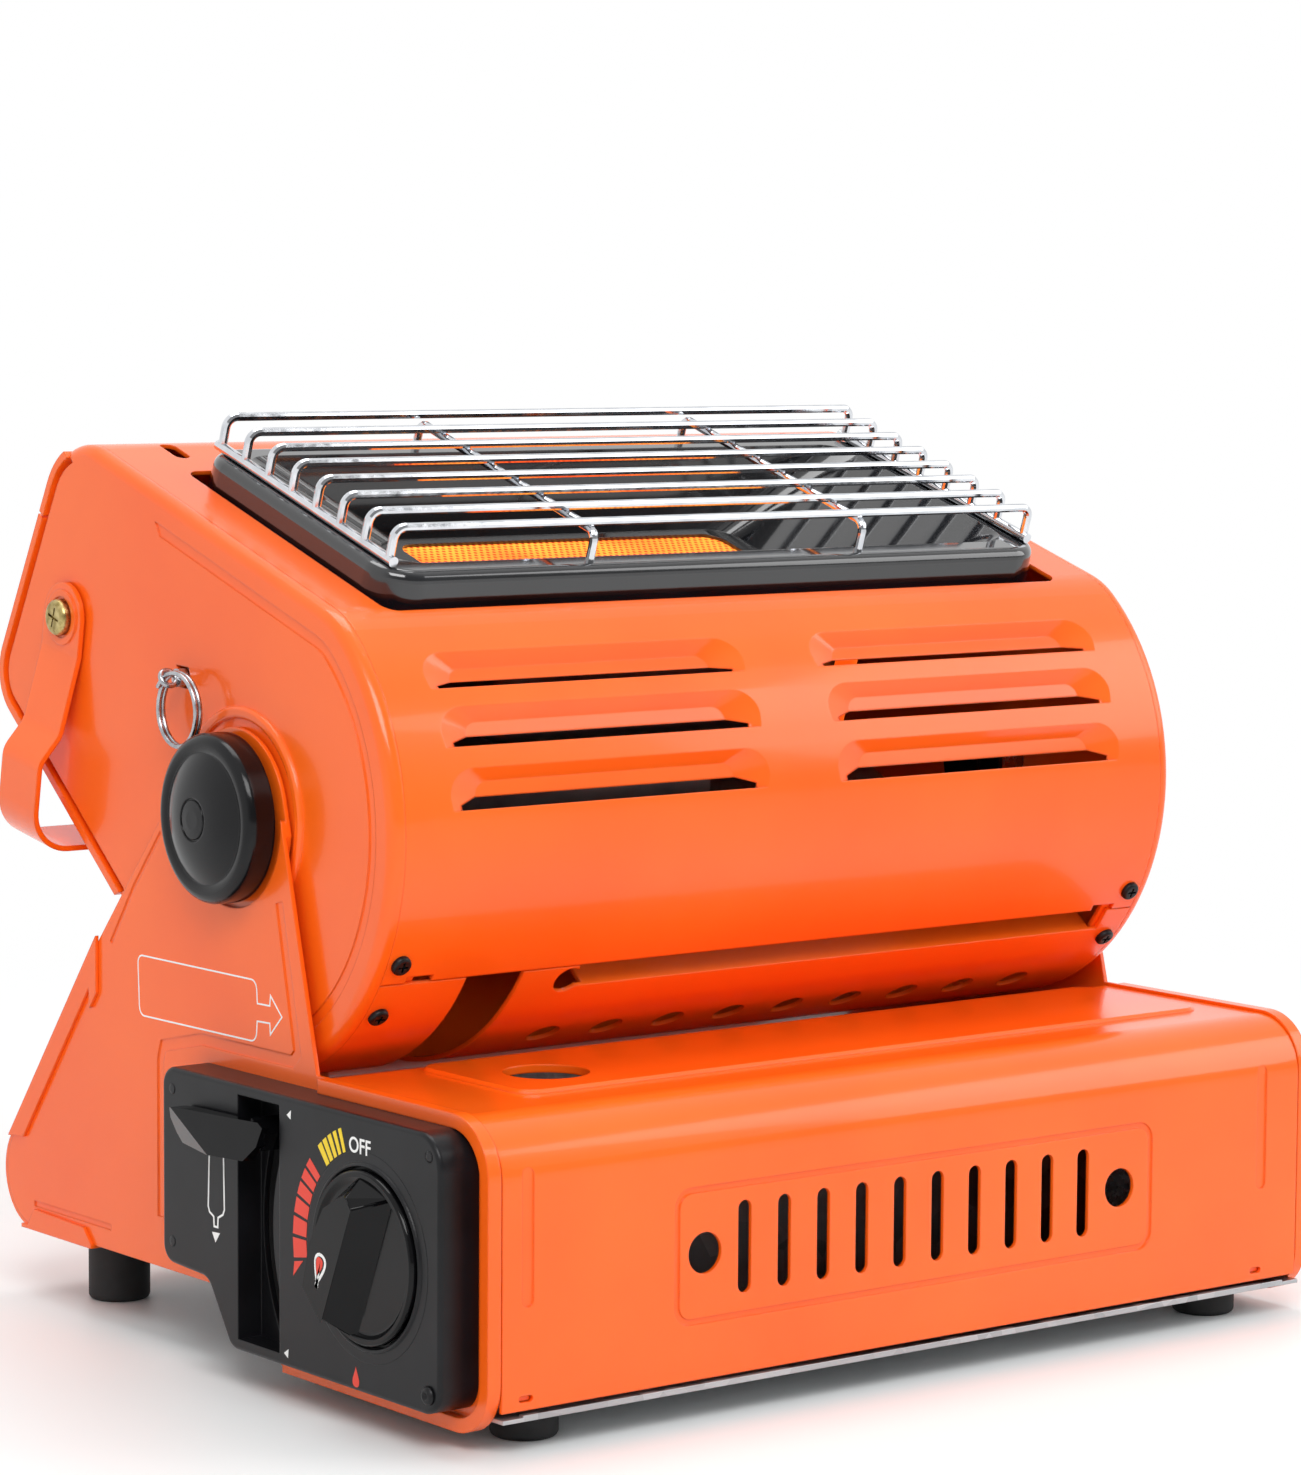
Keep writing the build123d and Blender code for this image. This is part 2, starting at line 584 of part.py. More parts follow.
def heat_trough():
    """Curved plate under the drum that keeps heat off the base."""
    half = PLATE_X - SHEET
    arc = (Circle(75.2) - Circle(74.2)) & wedge(-129.0, -62.0)
    trough = Pos(0, PIVOT_Z) * arc
    tail = poly(drum_point(75.2, -127.5), drum_point(74.2, -127.5), (62.9, -43.0), (63.4, -44.2))
    trough += Pos(0, PIVOT_Z) * tail
    plate = yz(trough, -half, half)
    y, z = drum_point(74.7, -109.0)
    hole = Plane(origin=(-93, y, z + PIVOT_Z), x_dir=(1, 0, 0), z_dir=(0, -y, -z))
    return plate - extrude(hole * Circle(6.0), amount=5, both=True)


COVER_T = 1.0
COVER_LIP = 5.0
COVER_TOP_Y = 67.8           # between the uprights its edge stops short of the level head


def rear_cover():
    """Sloping back of the base, folded over the edges of both end plates."""
    edge = rounded_poly([(65.2, 104.6), (130.2, 20.5), (60.0, 20.5)], {1: 14.4})
    behind = poly((COVER_TOP_Y, 90), (COVER_TOP_Y, 125), (150, 60), (150, 10), (104.0, 10), (104.0, 40))
    slope = poly((65.6, 90), (65.6, 125), (150, 60), (150, 43.8), (114.0, 44.1), (107.4, 44.7), (100.0, 45.2))
    grown = offset(edge, amount=COVER_T)
    cover = yz((grown - edge) & behind, -PLATE_X, PLATE_X)
    side = yz((grown - offset(edge, amount=-COVER_LIP)) & slope, -PLATE_X - COVER_T, -PLATE_X)
    under = 20.5 - COVER_T
    side += block(-PLATE_X - COVER_T, -126.0, 68.9, 106.0, under, 20.5)
    tab = poly((68.9, under), (68.9, 20.7), (72.9, 24.7), (99.5, 25.4), (102.7, 20.6), (102.7, under))
    side += yz(tab, -PLATE_X - COVER_T, -PLATE_X)
    return cover + both_sides(side)


LID_FLANGE = poly((-130, 22), (-130, 90), (-43, 90), (-43, 66), (-90, 66), (-108, 50), (-108, 22))


def lid():
    """Front cover of the cartridge bay: rounded front edge, air slots, finger hole."""
    outline = rounded_poly([(LID_FRONT_Y, LID_BOTTOM_Z), (LID_FRONT_Y, LID_TOP_Z), (LID_REAR_Y, LID_TOP_Z),
                            (LID_REAR_Y, LID_BOTTOM_Z)], {1: 15.0})
    inner = rounded_poly([(LID_FRONT_Y + SHEET, LID_BOTTOM_Z - 1), (LID_FRONT_Y + SHEET, LID_TOP_Z - SHEET),
                          (LID_REAR_Y + 1, LID_TOP_Z - SHEET), (LID_REAR_Y + 1, LID_BOTTOM_Z - 1)], {1: 13.8})
    skin = outline - inner
    cover = yz(skin, -LID_HALF, LID_HALF)
    flange = (outline - offset(outline, amount=-9.0)) & LID_FLANGE
    for x in (-LID_HALF, LID_HALF - 1.0):
        cover += yz(flange, x, x + 1.0)
    panel = Pos(8.5, -66.0, LID_TOP_Z) * extrude(RectangleRounded(233, 48, 6), amount=1.0)
    panel = chamfer(panel.edges().group_by(Axis.Z)[-1], 0.8)
    cover += panel
    cover -= rod_z(11.0, 70, 90, -86, -69)
    plan = Plane(origin=(0, LID_FRONT_Y, 0), x_dir=(1, 0, 0), z_dir=(0, -1, 0))
    emboss = plan * Pos(-1.2, 42.0) * (RectangleRounded(162, 34.5, 5) - RectangleRounded(159, 31.5, 3.6))
    cover -= extrude(emboss, amount=0.5, both=True)
    for i in range(10):
        x = -60.2 + i * SLOT_PITCH
        slot = plan * Pos(x, 42.6) * Rot(0, 0, 90) * SlotOverall(23.4, 4.2)
        cover -= extrude(slot, amount=3, both=True)
    for x in (-72.8, 67.8):
        cover -= extrude(plan * Pos(x, 42.5) * Circle(5.2), amount=3, both=True)
    for x in (-127.0, 121.0):
        groove = plan * Pos(x, 53) * Rot(0, 0, 90) * SlotOverall(34, 3.4)
        cover -= extrude(groove, amount=0.5, both=True)
    for x in (-LID_HALF + 4.0, LID_HALF - 5.0):
        lug = block(x, x + 1.0, LID_FRONT_Y + 0.6, HINGE_Y + 2.2, LID_BOTTOM_Z + 0.5, HINGE_Z + 6)
        cover += lug
    for x in (-127.5, 119.5):
        cover -= extrude(plan * Pos(x, 13.6) * SlotOverall(4.2, 1.6), amount=1.1, both=True)
    return cover - both_sides(rod_x(STUD_R + RUN_FIT, -133, -128, HINGE_Y, HINGE_Z))


def lid_pins():
    """Studs on the end plates that the lid turns on."""
    return both_sides(rod_x(STUD_R, -PLATE_X + SHEET, -128.6, HINGE_Y, HINGE_Z))


def feet():
    """Four rubber feet: short ones under the bay, tall ones under the rear floor."""
    group = Part()
    for x in (-116.0, 116.0):
        for y, top in ((-101.0, TRAY_Z), (89.0, REAR_FLOOR_Z)):
            foot = rod_z(8.5, 0, top, x, y)
            foot = fillet(foot.edges().group_by(Axis.Z)[0], 1.5)
            group += foot
    return group


# ---- controls ----
PANEL_SCREWS = ((-105.5, 15.0), (10.0, 33.0), (-105.0, 73.0), (10.0, 73.0))


def control_panel():
    """Moulded panel: knob plate, lever plate and the sunk channel between them."""
    points = [(-110.0, 10.0), (-110.0, 78.6), (15.0, 78.6), (15.0, 27.3), (-6.5, 26.3), (-17.5, 10.0)]
    outline = rounded_poly(points, {0: 7.0, 1: 9.0, 2: 5.0, 3: 5.0, 4: 6.0, 5: 5.0})
    panel = yz(outline, -PANEL_OUT, -PLATE_X)
    panel = fillet(panel.faces().sort_by(Axis.X)[0].edges(), 1.2)
    panel -= yz(offset(outline, amount=-2.0), -PANEL_OUT + 2.4, -PLATE_X + 1)
    channel = block(-PANEL_OUT - 1, -140.6, -40.4, -21.2, 13.0, 76.0)
    liner = block(-PANEL_OUT + 0.4, -139.0, -42.0, -19.6, 11.4, 77.6)
    guide = rod_x(LEVER_ARM - 5.4, -144.4, -139.0, CARTRIDGE_Y, CARTRIDGE_Z)
    guide &= block(-150, -130, -40.4, -21.2, 13, 76)
    panel = panel - channel + (liner - channel) + guide
    panel -= yz(lever_slot(9.6), -146, -130)
    panel -= rod_x(26.0, -PANEL_OUT - 1, -PANEL_OUT + 2.0, CARTRIDGE_Y, CARTRIDGE_Z)
    panel -= rod_x(5.0, -150, -130, CARTRIDGE_Y, CARTRIDGE_Z)
    for y, z in PANEL_SCREWS:
        panel += rod_x(2.8, -PANEL_OUT + 1.0, -PLATE_X, y, z)
        panel -= rod_x(1.2, -150, -130, y, z)
    return panel


def control_knob():
    """Round skirt with a bevelled grip bar; the rest pose is full flame."""
    skirt_x = -PANEL_OUT - 2.0
    grip_x = skirt_x - 5.2
    skirt = rod_x(KNOB_R, skirt_x, -PANEL_OUT + 1.7)
    skirt = fillet(skirt.edges().sort_by(Axis.X)[0], 1.2)
    skirt -= rod_x(KNOB_R - 2.2, skirt_x - 1, skirt_x + 1.4)
    base = Plane.YZ.offset(skirt_x + 1.6) * RectangleRounded(28, 47, 2)
    crest = Plane.YZ.offset(grip_x) * RectangleRounded(17, 38, 1.5)
    grip = loft([base, crest]) & rod_x(KNOB_R - 0.3, grip_x - 1, skirt_x + 2)
    groove = block(grip_x - 1, grip_x + 0.6, -7.6, -6.9, -17, 17)
    knob = skirt + Rot(KNOB_LEAN, 0, 0) * (grip - groove)
    knob -= rod_x(3.9, skirt_x - 4, 0)
    return Pos(0, CARTRIDGE_Y, CARTRIDGE_Z) * knob


def valve_spindle():
    """Stem that the knob is pressed on; it turns in the valve."""
    return rod_x(3.9, -PANEL_OUT - 6.0, -118.0, CARTRIDGE_Y, CARTRIDGE_Z)


def gas_valve():
    """Valve and regulator body on the left end plate, socket towards the cartridge."""
    y, z = CARTRIDGE_Y, CARTRIDGE_Z
    body = rod_x(12.0, -135.0, -126.0, y, z) + rod_x(17.0, -126.0, -104.0, y, z)
    dome = rod_x(23.0, -122.0, -112.0, y, z)
    dome = fillet(dome.edges(), 2.0)
    body += dome + rod_x(13.0, -104.0, -96.0, y, z)
    body += Pos(GAS_X_LOW, y + 19, GAS_Z_LOW) * Rot(90, 0, 0) * Cylinder(5.5, 14)
    body += block(-122, -112, y - 27, y - 20, z - 6, z + 6)
    body -= rod_x(3.9 + RUN_FIT, -140, -117, y, z)
    body -= rod_x(8.0, -99.0, -95.0, y, z)
    body -= Pos(GAS_X_LOW, y + 22, GAS_Z_LOW) * Rot(90, 0, 0) * Cylinder(GAS_R, 10)
    return body


def gas_pipe():
    """Copper pipe from the valve up through the drum's slot to the union on the pivot."""
    entry = drum_point(1.0, -109.0)
    low_z = 42.0
    lift = (low_z - PIVOT_Z) / entry[1]
    corner = (-93.0, entry[0] * lift, low_z)
    top = (-93.0, entry[0] * 5.4, PIVOT_Z + entry[1] * 5.4)
    start = (GAS_X_LOW, CARTRIDGE_Y + 17.0, GAS_Z_LOW)
    points = [start, (GAS_X_LOW, -12.0, GAS_Z_LOW), corner, top]
    return bent_wire(points, GAS_R, 14.0)


def gas_union():
    """Brass swivel block on the pivot axis; the injector turns in its bore."""
    y, z = drum_point(1.0, -109.0)

    def port(radius, near, far):
        at = Plane(origin=(-93, y * near, PIVOT_Z + z * near), x_dir=(1, 0, 0), z_dir=(0, y, z))
        return extrude(at * Circle(radius), amount=far - near)

    body = rod_x(6.5, -100.0, -88.0, 0, PIVOT_Z) + port(4.6, 5.0, 13.0)
    body -= rod_x(3.0 + RUN_FIT, -98.0, -80.0, 0, PIVOT_Z)
    return body - port(1.2, 1.0, 8.0) - port(GAS_R, 5.4, 20.0)


def cartridge_lever():
    """Lever ring on the valve neck with an arm, a stem through the slot and a finger paddle."""
    y, z = CARTRIDGE_Y, CARTRIDGE_Z
    ring = tube_x(20.0, 12.0 + RUN_FIT, -131.5, -129.0)
    arm = block(-131.5, -129.0, 15, LEVER_ARM + 3.5, -5, 5)
    stem = block(-PANEL_OUT - 2.0, -131.4, LEVER_ARM - 3.6, LEVER_ARM + 3.6, -2.6, 2.6)
    turned = Rot(LEVER_REST, 0, 0) * (ring + arm + stem)
    outline = poly((4.0, 66.8), (3.0, 63.0), (1.0, 60.5), (-16.0, 60.3), (-30.9, 60.9), (-35.6, 65.0),
                   (-37.6, 71.2), (-23.2, 70.8), (-4.0, 70.4), (2.1, 69.9))
    # The paddle is highest along a slanting crest and falls off to both sides of it.
    back = -PANEL_OUT - 1.2
    along = Plane(origin=(back, -9.0, 65.0), x_dir=(-1, 0, 0), z_dir=(0, 0.875, 0.484))
    section = poly((0, -10), (0.8, -10), (4.8, -0.6), (4.6, 0.8), (1.9, 18), (0, 18))
    crest = extrude(along * section, amount=40, both=True)
    paddle = yz(outline, back - 6, back) & crest
    return Pos(0, y, z) * turned + paddle


CARRIER_Z = TRAY_Z + TRAY_T + 0.2


def cartridge_carrier():
    """Sliding cradle that presses the cartridge against the valve."""
    low = block(-124.0, 108.0, CARTRIDGE_Y - 15, CARTRIDGE_Y + 15, CARRIER_Z, CARRIER_Z + 1.0)
    low -= block(-70, 80, CARTRIDGE_Y - 9, CARTRIDGE_Y + 9, CARRIER_Z - 1, CARRIER_Z + 2)
    back = block(107.0, 108.0, CARTRIDGE_Y - 15, CARTRIDGE_Y + 15, CARRIER_Z, CARTRIDGE_Z + 12)
    back = fillet(back.edges().filter_by(Axis.X).group_by(Axis.Z)[-1], 8)
    spring = Pos(106.2, CARTRIDGE_Y, CARTRIDGE_Z) * Rot(0, 90, 0) * Cylinder(12, 1.6)
    front = block(-124.0, -123.0, CARTRIDGE_Y - 6, CARTRIDGE_Y + 6, CARRIER_Z, CARRIER_Z + 7)
    return low + back + spring + front


def carrier_guides():
    """Two bent rails that hold the sliding cradle down."""
    rail = block(-60, 60, 15.4, 16.4, 0, 2.6) + block(-60, 60, 12.0, 16.4, 1.6, 2.6)
    pair = rail + mirror(rail, about=Plane.XZ)
    return Pos(0, CARTRIDGE_Y, TRAY_Z + TRAY_T) * pair


def piezo_igniter():
    body = block(-122, -94, -49.2, -37.2, 54, 66)
    body = fillet(body.edges().filter_by(Axis.X), 1.5)
    return body + rod_x(3.0, -94, -88, -43, 60)


# ---- pivots ----
def pivot_sleeve(side):
    """Flanged sleeve fixed in the upright's seat; the head's side plate turns on it."""
    sleeve = rod_x(8.0, -SEAT_X, INDEX_X) + rod_x(13.0, -PLATE_X, -SEAT_X)
    sleeve += rod_x(10.0, -SEAT_X, -HEAD_HALF - 0.5)
    sleeve -= rod_x(4.0 + RUN_FIT, -150, -120)
    at = Pos(0, 0, PIVOT_Z)
    return at * sleeve if side < 0 else at * mirror(sleeve, about=Plane.YZ)


def index_plate():
    """Sector plate inside the head; the pull pin runs in its curved slot and limits the tilt."""
    reach = sqrt(LOCK_PIN[0] ** 2 + LOCK_PIN[1] ** 2)
    level = degrees(atan2(LOCK_PIN[1], -LOCK_PIN[0]))
    low, high = level - TILT_SPAN - 0.7, level + 0.7
    shape = Circle(15.0) + (Circle(reach + 6.0) & wedge(low - 8, high + 8))
    slot = (Circle(reach + 2.9) - Circle(reach - 2.9)) & wedge(low, high)
    for angle in (low, high):
        slot += Pos(*drum_point(reach, angle)) * Circle(2.9)
    shape -= slot
    for angle in range(45, 360, 90):
        shape -= Pos(*drum_point(11.3, angle)) * Circle(1.6)
    plate = yz(shape, INDEX_X - 1.6, INDEX_X) - rod_x(8.0, -140, -110)
    return Pos(0, 0, PIVOT_Z) * plate


DOG_END_X = -108.0


def dog_bracket():
    """Strap on the head's side plate whose square hole turns the button's dog."""
    leg_z = -18.0
    strap = block(-HEAD_HALF + SHEET, -110.0, -6, 6, leg_z - 1.5, leg_z)
    strap += block(-112.0, -110.0, -6, 6, leg_z - 1.5, 7)
    strap += block(-HEAD_HALF + SHEET, -129.8, -6, 6, leg_z - 12, leg_z)
    hole = 3.0 + RUN_FIT
    return Rot(-30, 0, 0) * strap - block(-120, -100, -hole, hole, -hole, hole)


BUTTON_SKIRT_X = -PLATE_X - 0.6
BUTTON_CEILING_X = BUTTON_SKIRT_X - 4.8
BUTTON_HUB_X = -PLATE_X - BUTTON_TRAVEL - 0.2


def release_button():
    """Domed button with a ring groove, its stem through the sleeve and a toothed dog inside."""
    wall = BUTTON_R - 1.8
    rim = BUTTON_CEILING_X - 0.3
    cap = Polyline((BUTTON_HUB_X, 0), (BUTTON_HUB_X, 5.5), (BUTTON_CEILING_X, 5.5), (BUTTON_CEILING_X, wall),
                   (BUTTON_SKIRT_X, wall), (BUTTON_SKIRT_X, BUTTON_R), (rim, BUTTON_R))
    cap += ThreePointArc((rim, BUTTON_R), (rim - 2.07, 21.14), (rim - 2.9, 19.5))
    cap += ThreePointArc((rim - 2.9, 19.5), (rim - 2.8, 18.1), (rim - 2.4, 17.0))
    cap += ThreePointArc((rim - 2.4, 17.0), (rim - 5.0, 10.6), (rim - 5.8, 5.7))
    cap += Polyline((rim - 5.8, 5.7), (rim - 5.3, 5.5), (rim - 5.3, 5.1), (rim - 5.8, 4.9), (rim - 6.0, 2.6),
                    (rim - 6.0, 0), (BUTTON_HUB_X, 0))
    button = revolve(make_face(cap.edges()), Axis.X, 360)
    stem = rod_x(4.0, BUTTON_HUB_X - 1, INDEX_X + 1) + block(INDEX_X + 1, DOG_END_X, -3, 3, -3, 3)
    dog = rod_x(14.0, INDEX_X + 0.7, INDEX_X + 2.0)
    for angle in range(45, 360, 90):
        dog += rod_x(1.2, INDEX_X + 0.3, INDEX_X + 0.8, *drum_point(11.3, angle))
    return button + stem + dog


def button_spring():
    """Coil behind the button, drawn at its pressed length."""
    return Pos(BUTTON_CEILING_X + 0.4, 0, 0) * Rot(0, 90, 0) * coil(0.45, 7.4, 2.5, 2.2)


def pivot_cap_right():
    """Plain cap and bolt on the right-hand pivot."""
    cap = rod_x(BUTTON_R, SEAT_X, PLATE_X + 9.0)
    cap = fillet(cap.edges().sort_by(Axis.X)[-1], 2.6)
    cap -= rod_x(BUTTON_R - 1.8, SEAT_X - 1, PLATE_X + 7.0)
    bolt = rod_x(4.0, -INDEX_X - 3, PLATE_X + 8.0) + rod_x(12.0, -INDEX_X - 2.0, -INDEX_X - 0.4)
    return Pos(0, 0, PIVOT_Z) * (cap + bolt)


def panel_screws():
    screws = Part()
    for y, z in PANEL_SCREWS:
        at = Plane(origin=(-PANEL_OUT, y, z), x_dir=(0, 1, 0), z_dir=(-1, 0, 0))
        screws += at * pan_screw(2.4, 1.3, 1.2, 12.5)
    return screws


# ---- assembly ----
head_left = head_side_left()
head_nodes = {
    "head_side_left": head_left,
    "head_side_right": mirror(head_left, about=Plane.YZ),
    "head_wrapper": head_wrapper(),
    "head_lower_shell": head_lower_shell(),
    "head_rear_panel": head_rear_panel(),
    "case_screws": case_screws(),
    "reflector_pan": reflector_pan(),
    "burner_plate": burner_plate(),
    "burner_box": burner_box(),
    "mixing_tube": mixing_tube(),
    "injector": injector(),
    "heat_shield": heat_shield(),
    "ignition_electrode": ignition_electrode(),
    "wire_grill": wire_grill(),
    "handle": handle(),
    "handle_screws": handle_screws(),
    "lock_pin": lock_pin(),
    "lock_spring": lock_spring(),
    "pull_ring": pull_ring(),
    "dog_bracket": dog_bracket(),
    "release_button": release_button(),
    "button_spring": button_spring(),
}
for name, part in head_nodes.items():
    nodes[name] = HEAD_AT * part

nodes["rear_cover"] = rear_cover()
nodes["end_plate_left"] = end_plate(-1)
nodes["end_plate_right"] = end_plate(1)
nodes["base_tray"] = base_tray()
nodes["bay_partition"] = bay_partition()
nodes["heat_trough"] = heat_trough()
nodes["lid"] = lid()
nodes["lid_pins"] = lid_pins()
nodes["feet"] = feet()
nodes["control_panel"] = control_panel()
nodes["panel_screws"] = panel_screws()
nodes["control_knob"] = control_knob()
nodes["valve_spindle"] = valve_spindle()
nodes["gas_valve"] = gas_valve()
nodes["gas_pipe"] = gas_pipe()
nodes["gas_union"] = gas_union()
nodes["cartridge_lever"] = cartridge_lever()
nodes["cartridge_carrier"] = cartridge_carrier()
nodes["carrier_guides"] = carrier_guides()
nodes["piezo_igniter"] = piezo_igniter()
nodes["pivot_sleeve_left"] = pivot_sleeve(-1)
nodes["pivot_sleeve_right"] = pivot_sleeve(1)
nodes["index_plate"] = index_plate()
nodes["pivot_cap_right"] = pivot_cap_right()

# The row's origin is the middle of the underside of the whole heater.
whole = Compound(children=[Compound(part.solids()) for part in nodes.values()]).bounding_box()
ORIGIN = (-(whole.min.X + whole.max.X) / 2, -(whole.min.Y + whole.max.Y) / 2, 0.0)
for name, part in nodes.items():
    solids = [Pos(*ORIGIN) * solid for solid in part.solids()]
    export_step(solids[0] if len(solids) == 1 else Compound(children=solids), f"parts/{name}.step")
print("origin shift", [round(v, 4) for v in ORIGIN])
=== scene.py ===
import json
from math import cos, pi, radians, sin

import bmesh
import bpy
from mathutils import Matrix, Vector

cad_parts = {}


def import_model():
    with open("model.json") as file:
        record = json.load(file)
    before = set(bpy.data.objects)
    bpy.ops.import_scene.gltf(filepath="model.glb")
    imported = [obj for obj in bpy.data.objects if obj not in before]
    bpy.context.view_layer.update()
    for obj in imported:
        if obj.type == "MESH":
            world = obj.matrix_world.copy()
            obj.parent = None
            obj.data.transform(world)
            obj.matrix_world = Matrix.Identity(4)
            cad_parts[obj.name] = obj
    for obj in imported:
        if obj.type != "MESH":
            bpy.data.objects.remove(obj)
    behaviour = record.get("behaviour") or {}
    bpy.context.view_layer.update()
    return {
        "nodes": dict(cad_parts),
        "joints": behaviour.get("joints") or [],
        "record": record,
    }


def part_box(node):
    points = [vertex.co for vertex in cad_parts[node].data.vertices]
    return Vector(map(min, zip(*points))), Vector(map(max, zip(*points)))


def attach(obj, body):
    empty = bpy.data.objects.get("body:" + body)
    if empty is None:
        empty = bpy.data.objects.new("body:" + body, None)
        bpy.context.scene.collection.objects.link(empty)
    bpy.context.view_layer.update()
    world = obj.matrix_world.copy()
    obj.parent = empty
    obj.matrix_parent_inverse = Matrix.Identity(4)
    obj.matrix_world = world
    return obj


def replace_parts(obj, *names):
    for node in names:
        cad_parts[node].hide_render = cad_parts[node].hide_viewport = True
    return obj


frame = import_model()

NODES = frame["nodes"]
JOINTS = {joint["name"]: joint for joint in frame["joints"]}
MM = 0.001

# Where the main axes are, taken from the frame.
PIVOT = Vector(JOINTS["head_tilt"]["pos_m"])
VALVE = Vector(JOINTS["knob_turn"]["pos_m"])
EYE = Vector(JOINTS["ring_flip"]["pos_m"])
REST_TILT = radians(18.3)
PANEL_FACE_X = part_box("control_panel")[0].x
UPRIGHT_SETBACK = 2.6 * MM        # the upright lies this far behind the end plate's outermost rim
UPRIGHT_FACE_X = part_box("end_plate_left")[0].x + UPRIGHT_SETBACK


# ---- camera ----
CAMERA_FROM_PIVOT = Vector((-766.4, -987.2, 135.4)) * MM
YAW = radians(-37.83)
PITCH = radians(5.59)
ROLL = radians(0.39)
LENS = 111.65


def place_camera():
    """Camera at the viewing angle, aimed by yaw, pitch and roll."""
    look = Vector((-sin(YAW) * cos(PITCH), cos(YAW) * cos(PITCH), -sin(PITCH)))
    right = look.cross(Vector((0, 0, 1))).normalized()
    up = right.cross(look)
    rolled_right = right * cos(ROLL) + up * sin(ROLL)
    rolled_up = up * cos(ROLL) - right * sin(ROLL)
    data = bpy.data.cameras.new("camera")
    data.lens = LENS
    data.sensor_fit = "VERTICAL"
    data.sensor_height = 36.0
    data.clip_start = 0.05
    camera = bpy.data.objects.new("camera", data)
    bpy.context.collection.objects.link(camera)
    turn = Matrix((rolled_right, rolled_up, -look)).transposed().to_4x4()
    camera.matrix_world = Matrix.Translation(PIVOT + CAMERA_FROM_PIVOT) @ turn
    bpy.context.scene.camera = camera


place_camera()


# ---- material tools ----
def srgb(code):
    """Colour written as sRGB hex, turned to the linear values that shaders take."""
    values = [int(code[i:i + 2], 16) / 255 for i in (1, 3, 5)]
    return [v / 12.92 if v <= 0.04045 else ((v + 0.055) / 1.055) ** 2.4 for v in values] + [1.0]


def add(tree, kind, links=None, **settings):
    """New shader node with its settings; links maps an input to a value or another node's output."""
    made = tree.nodes.new("ShaderNode" + kind)
    for name, value in settings.items():
        setattr(made, name, value)
    for name, value in (links or {}).items():
        if isinstance(value, bpy.types.NodeSocket):
            tree.links.new(value, made.inputs[name])
        else:
            made.inputs[name].default_value = value
    return made


def finish_material(name, **surface):
    """Material whose principled shader takes the given inputs: (material, tree, shader)."""
    material = bpy.data.materials.new(name)
    material.use_nodes = True
    tree = material.node_tree
    shader = tree.nodes["Principled BSDF"]
    for key, value in surface.items():
        shader.inputs[key.replace("_", " ")].default_value = value
    return material, tree, shader


def grain(tree, size_mm, detail=2.0, stretch=(1, 1, 1)):
    """Noise on Object coordinates whose blobs are about size_mm across."""
    place = add(tree, "TexCoord").outputs["Object"]
    turned = add(tree, "Mapping", {"Vector": place, "Scale": stretch}).outputs["Vector"]
    noise = add(tree, "TexNoise", {"Vector": turned, "Scale": 1000.0 / size_mm, "Detail": detail})
    return noise.outputs["Fac"]


def span(tree, value, low, high):
    """Map 0.3..0.7 of a noise onto low..high."""
    return add(tree, "MapRange", {"Value": value, "From Min": 0.3, "From Max": 0.7,
                                  "To Min": low, "To Max": high}).outputs["Result"]


def bumped(tree, shader, height, strength, distance_mm, edge_mm=0.0):
    """Relief from a height, over edges that look rounded by edge_mm."""
    links = {"Height": height, "Strength": strength, "Distance": distance_mm * MM}
    if edge_mm:
        links["Normal"] = add(tree, "Bevel", {"Radius": edge_mm * MM}, samples=6).outputs["Normal"]
    bump = add(tree, "Bump", links).outputs["Normal"]
    tree.links.new(bump, shader.inputs["Normal"])


def blend(tree, factor, first, second):
    """Mix of two colours, each a value or another node's output."""
    mix = add(tree, "Mix", {"Factor": factor}, data_type="RGBA")
    for socket, tone in zip([s for s in mix.inputs if s.type == "RGBA"], (first, second)):
        if isinstance(tone, bpy.types.NodeSocket):
            tree.links.new(tone, socket)
        else:
            socket.default_value = tone
    return [s for s in mix.outputs if s.type == "RGBA"][0]


def two_tone(tree, shader, factor, dark, light):
    """Base colour that wanders between two tones."""
    tree.links.new(blend(tree, factor, srgb(dark), srgb(light)), shader.inputs["Base Color"])


# ---- finishes ----
def orange_stove_enamel():
    """Baked enamel sprayed on pressed steel: saturated, glossy, with a faint orange-peel ripple."""
    material, tree, shader = finish_material("orange_stove_enamel", Roughness=0.24, Coat_Weight=0.3,
                                             Coat_Roughness=0.06, IOR=1.4)
    two_tone(tree, shader, span(tree, grain(tree, 60, 3), 0, 1), "#f95f0e", "#fd6815")
    bumped(tree, shader, grain(tree, 2.2, 1), 0.06, 0.12, 0.7)
    return material


def black_vitreous_enamel():
    """Fired enamel on the drip pan: near black, wet gloss, soft waves from the firing."""
    material, tree, shader = finish_material("black_vitreous_enamel", Roughness=0.1, Coat_Weight=0.8,
                                             Coat_Roughness=0.04, IOR=1.52)
    two_tone(tree, shader, span(tree, grain(tree, 30), 0, 1), "#0c0d10", "#15171b")
    bumped(tree, shader, grain(tree, 9, 1), 0.10, 0.25, 0.6)
    return material


def bright_chrome():
    """Nickel-chrome plated wire: mirror bright with a few soft dull spots."""
    material, tree, shader = finish_material("bright_chrome", Metallic=1.0)
    two_tone(tree, shader, span(tree, grain(tree, 6), 0, 1), "#c9ccd1", "#e2e4e8")
    tree.links.new(span(tree, grain(tree, 3), 0.05, 0.16), shader.inputs["Roughness"])
    bumped(tree, shader, grain(tree, 1.2), 0.04, 0.05)
    return material


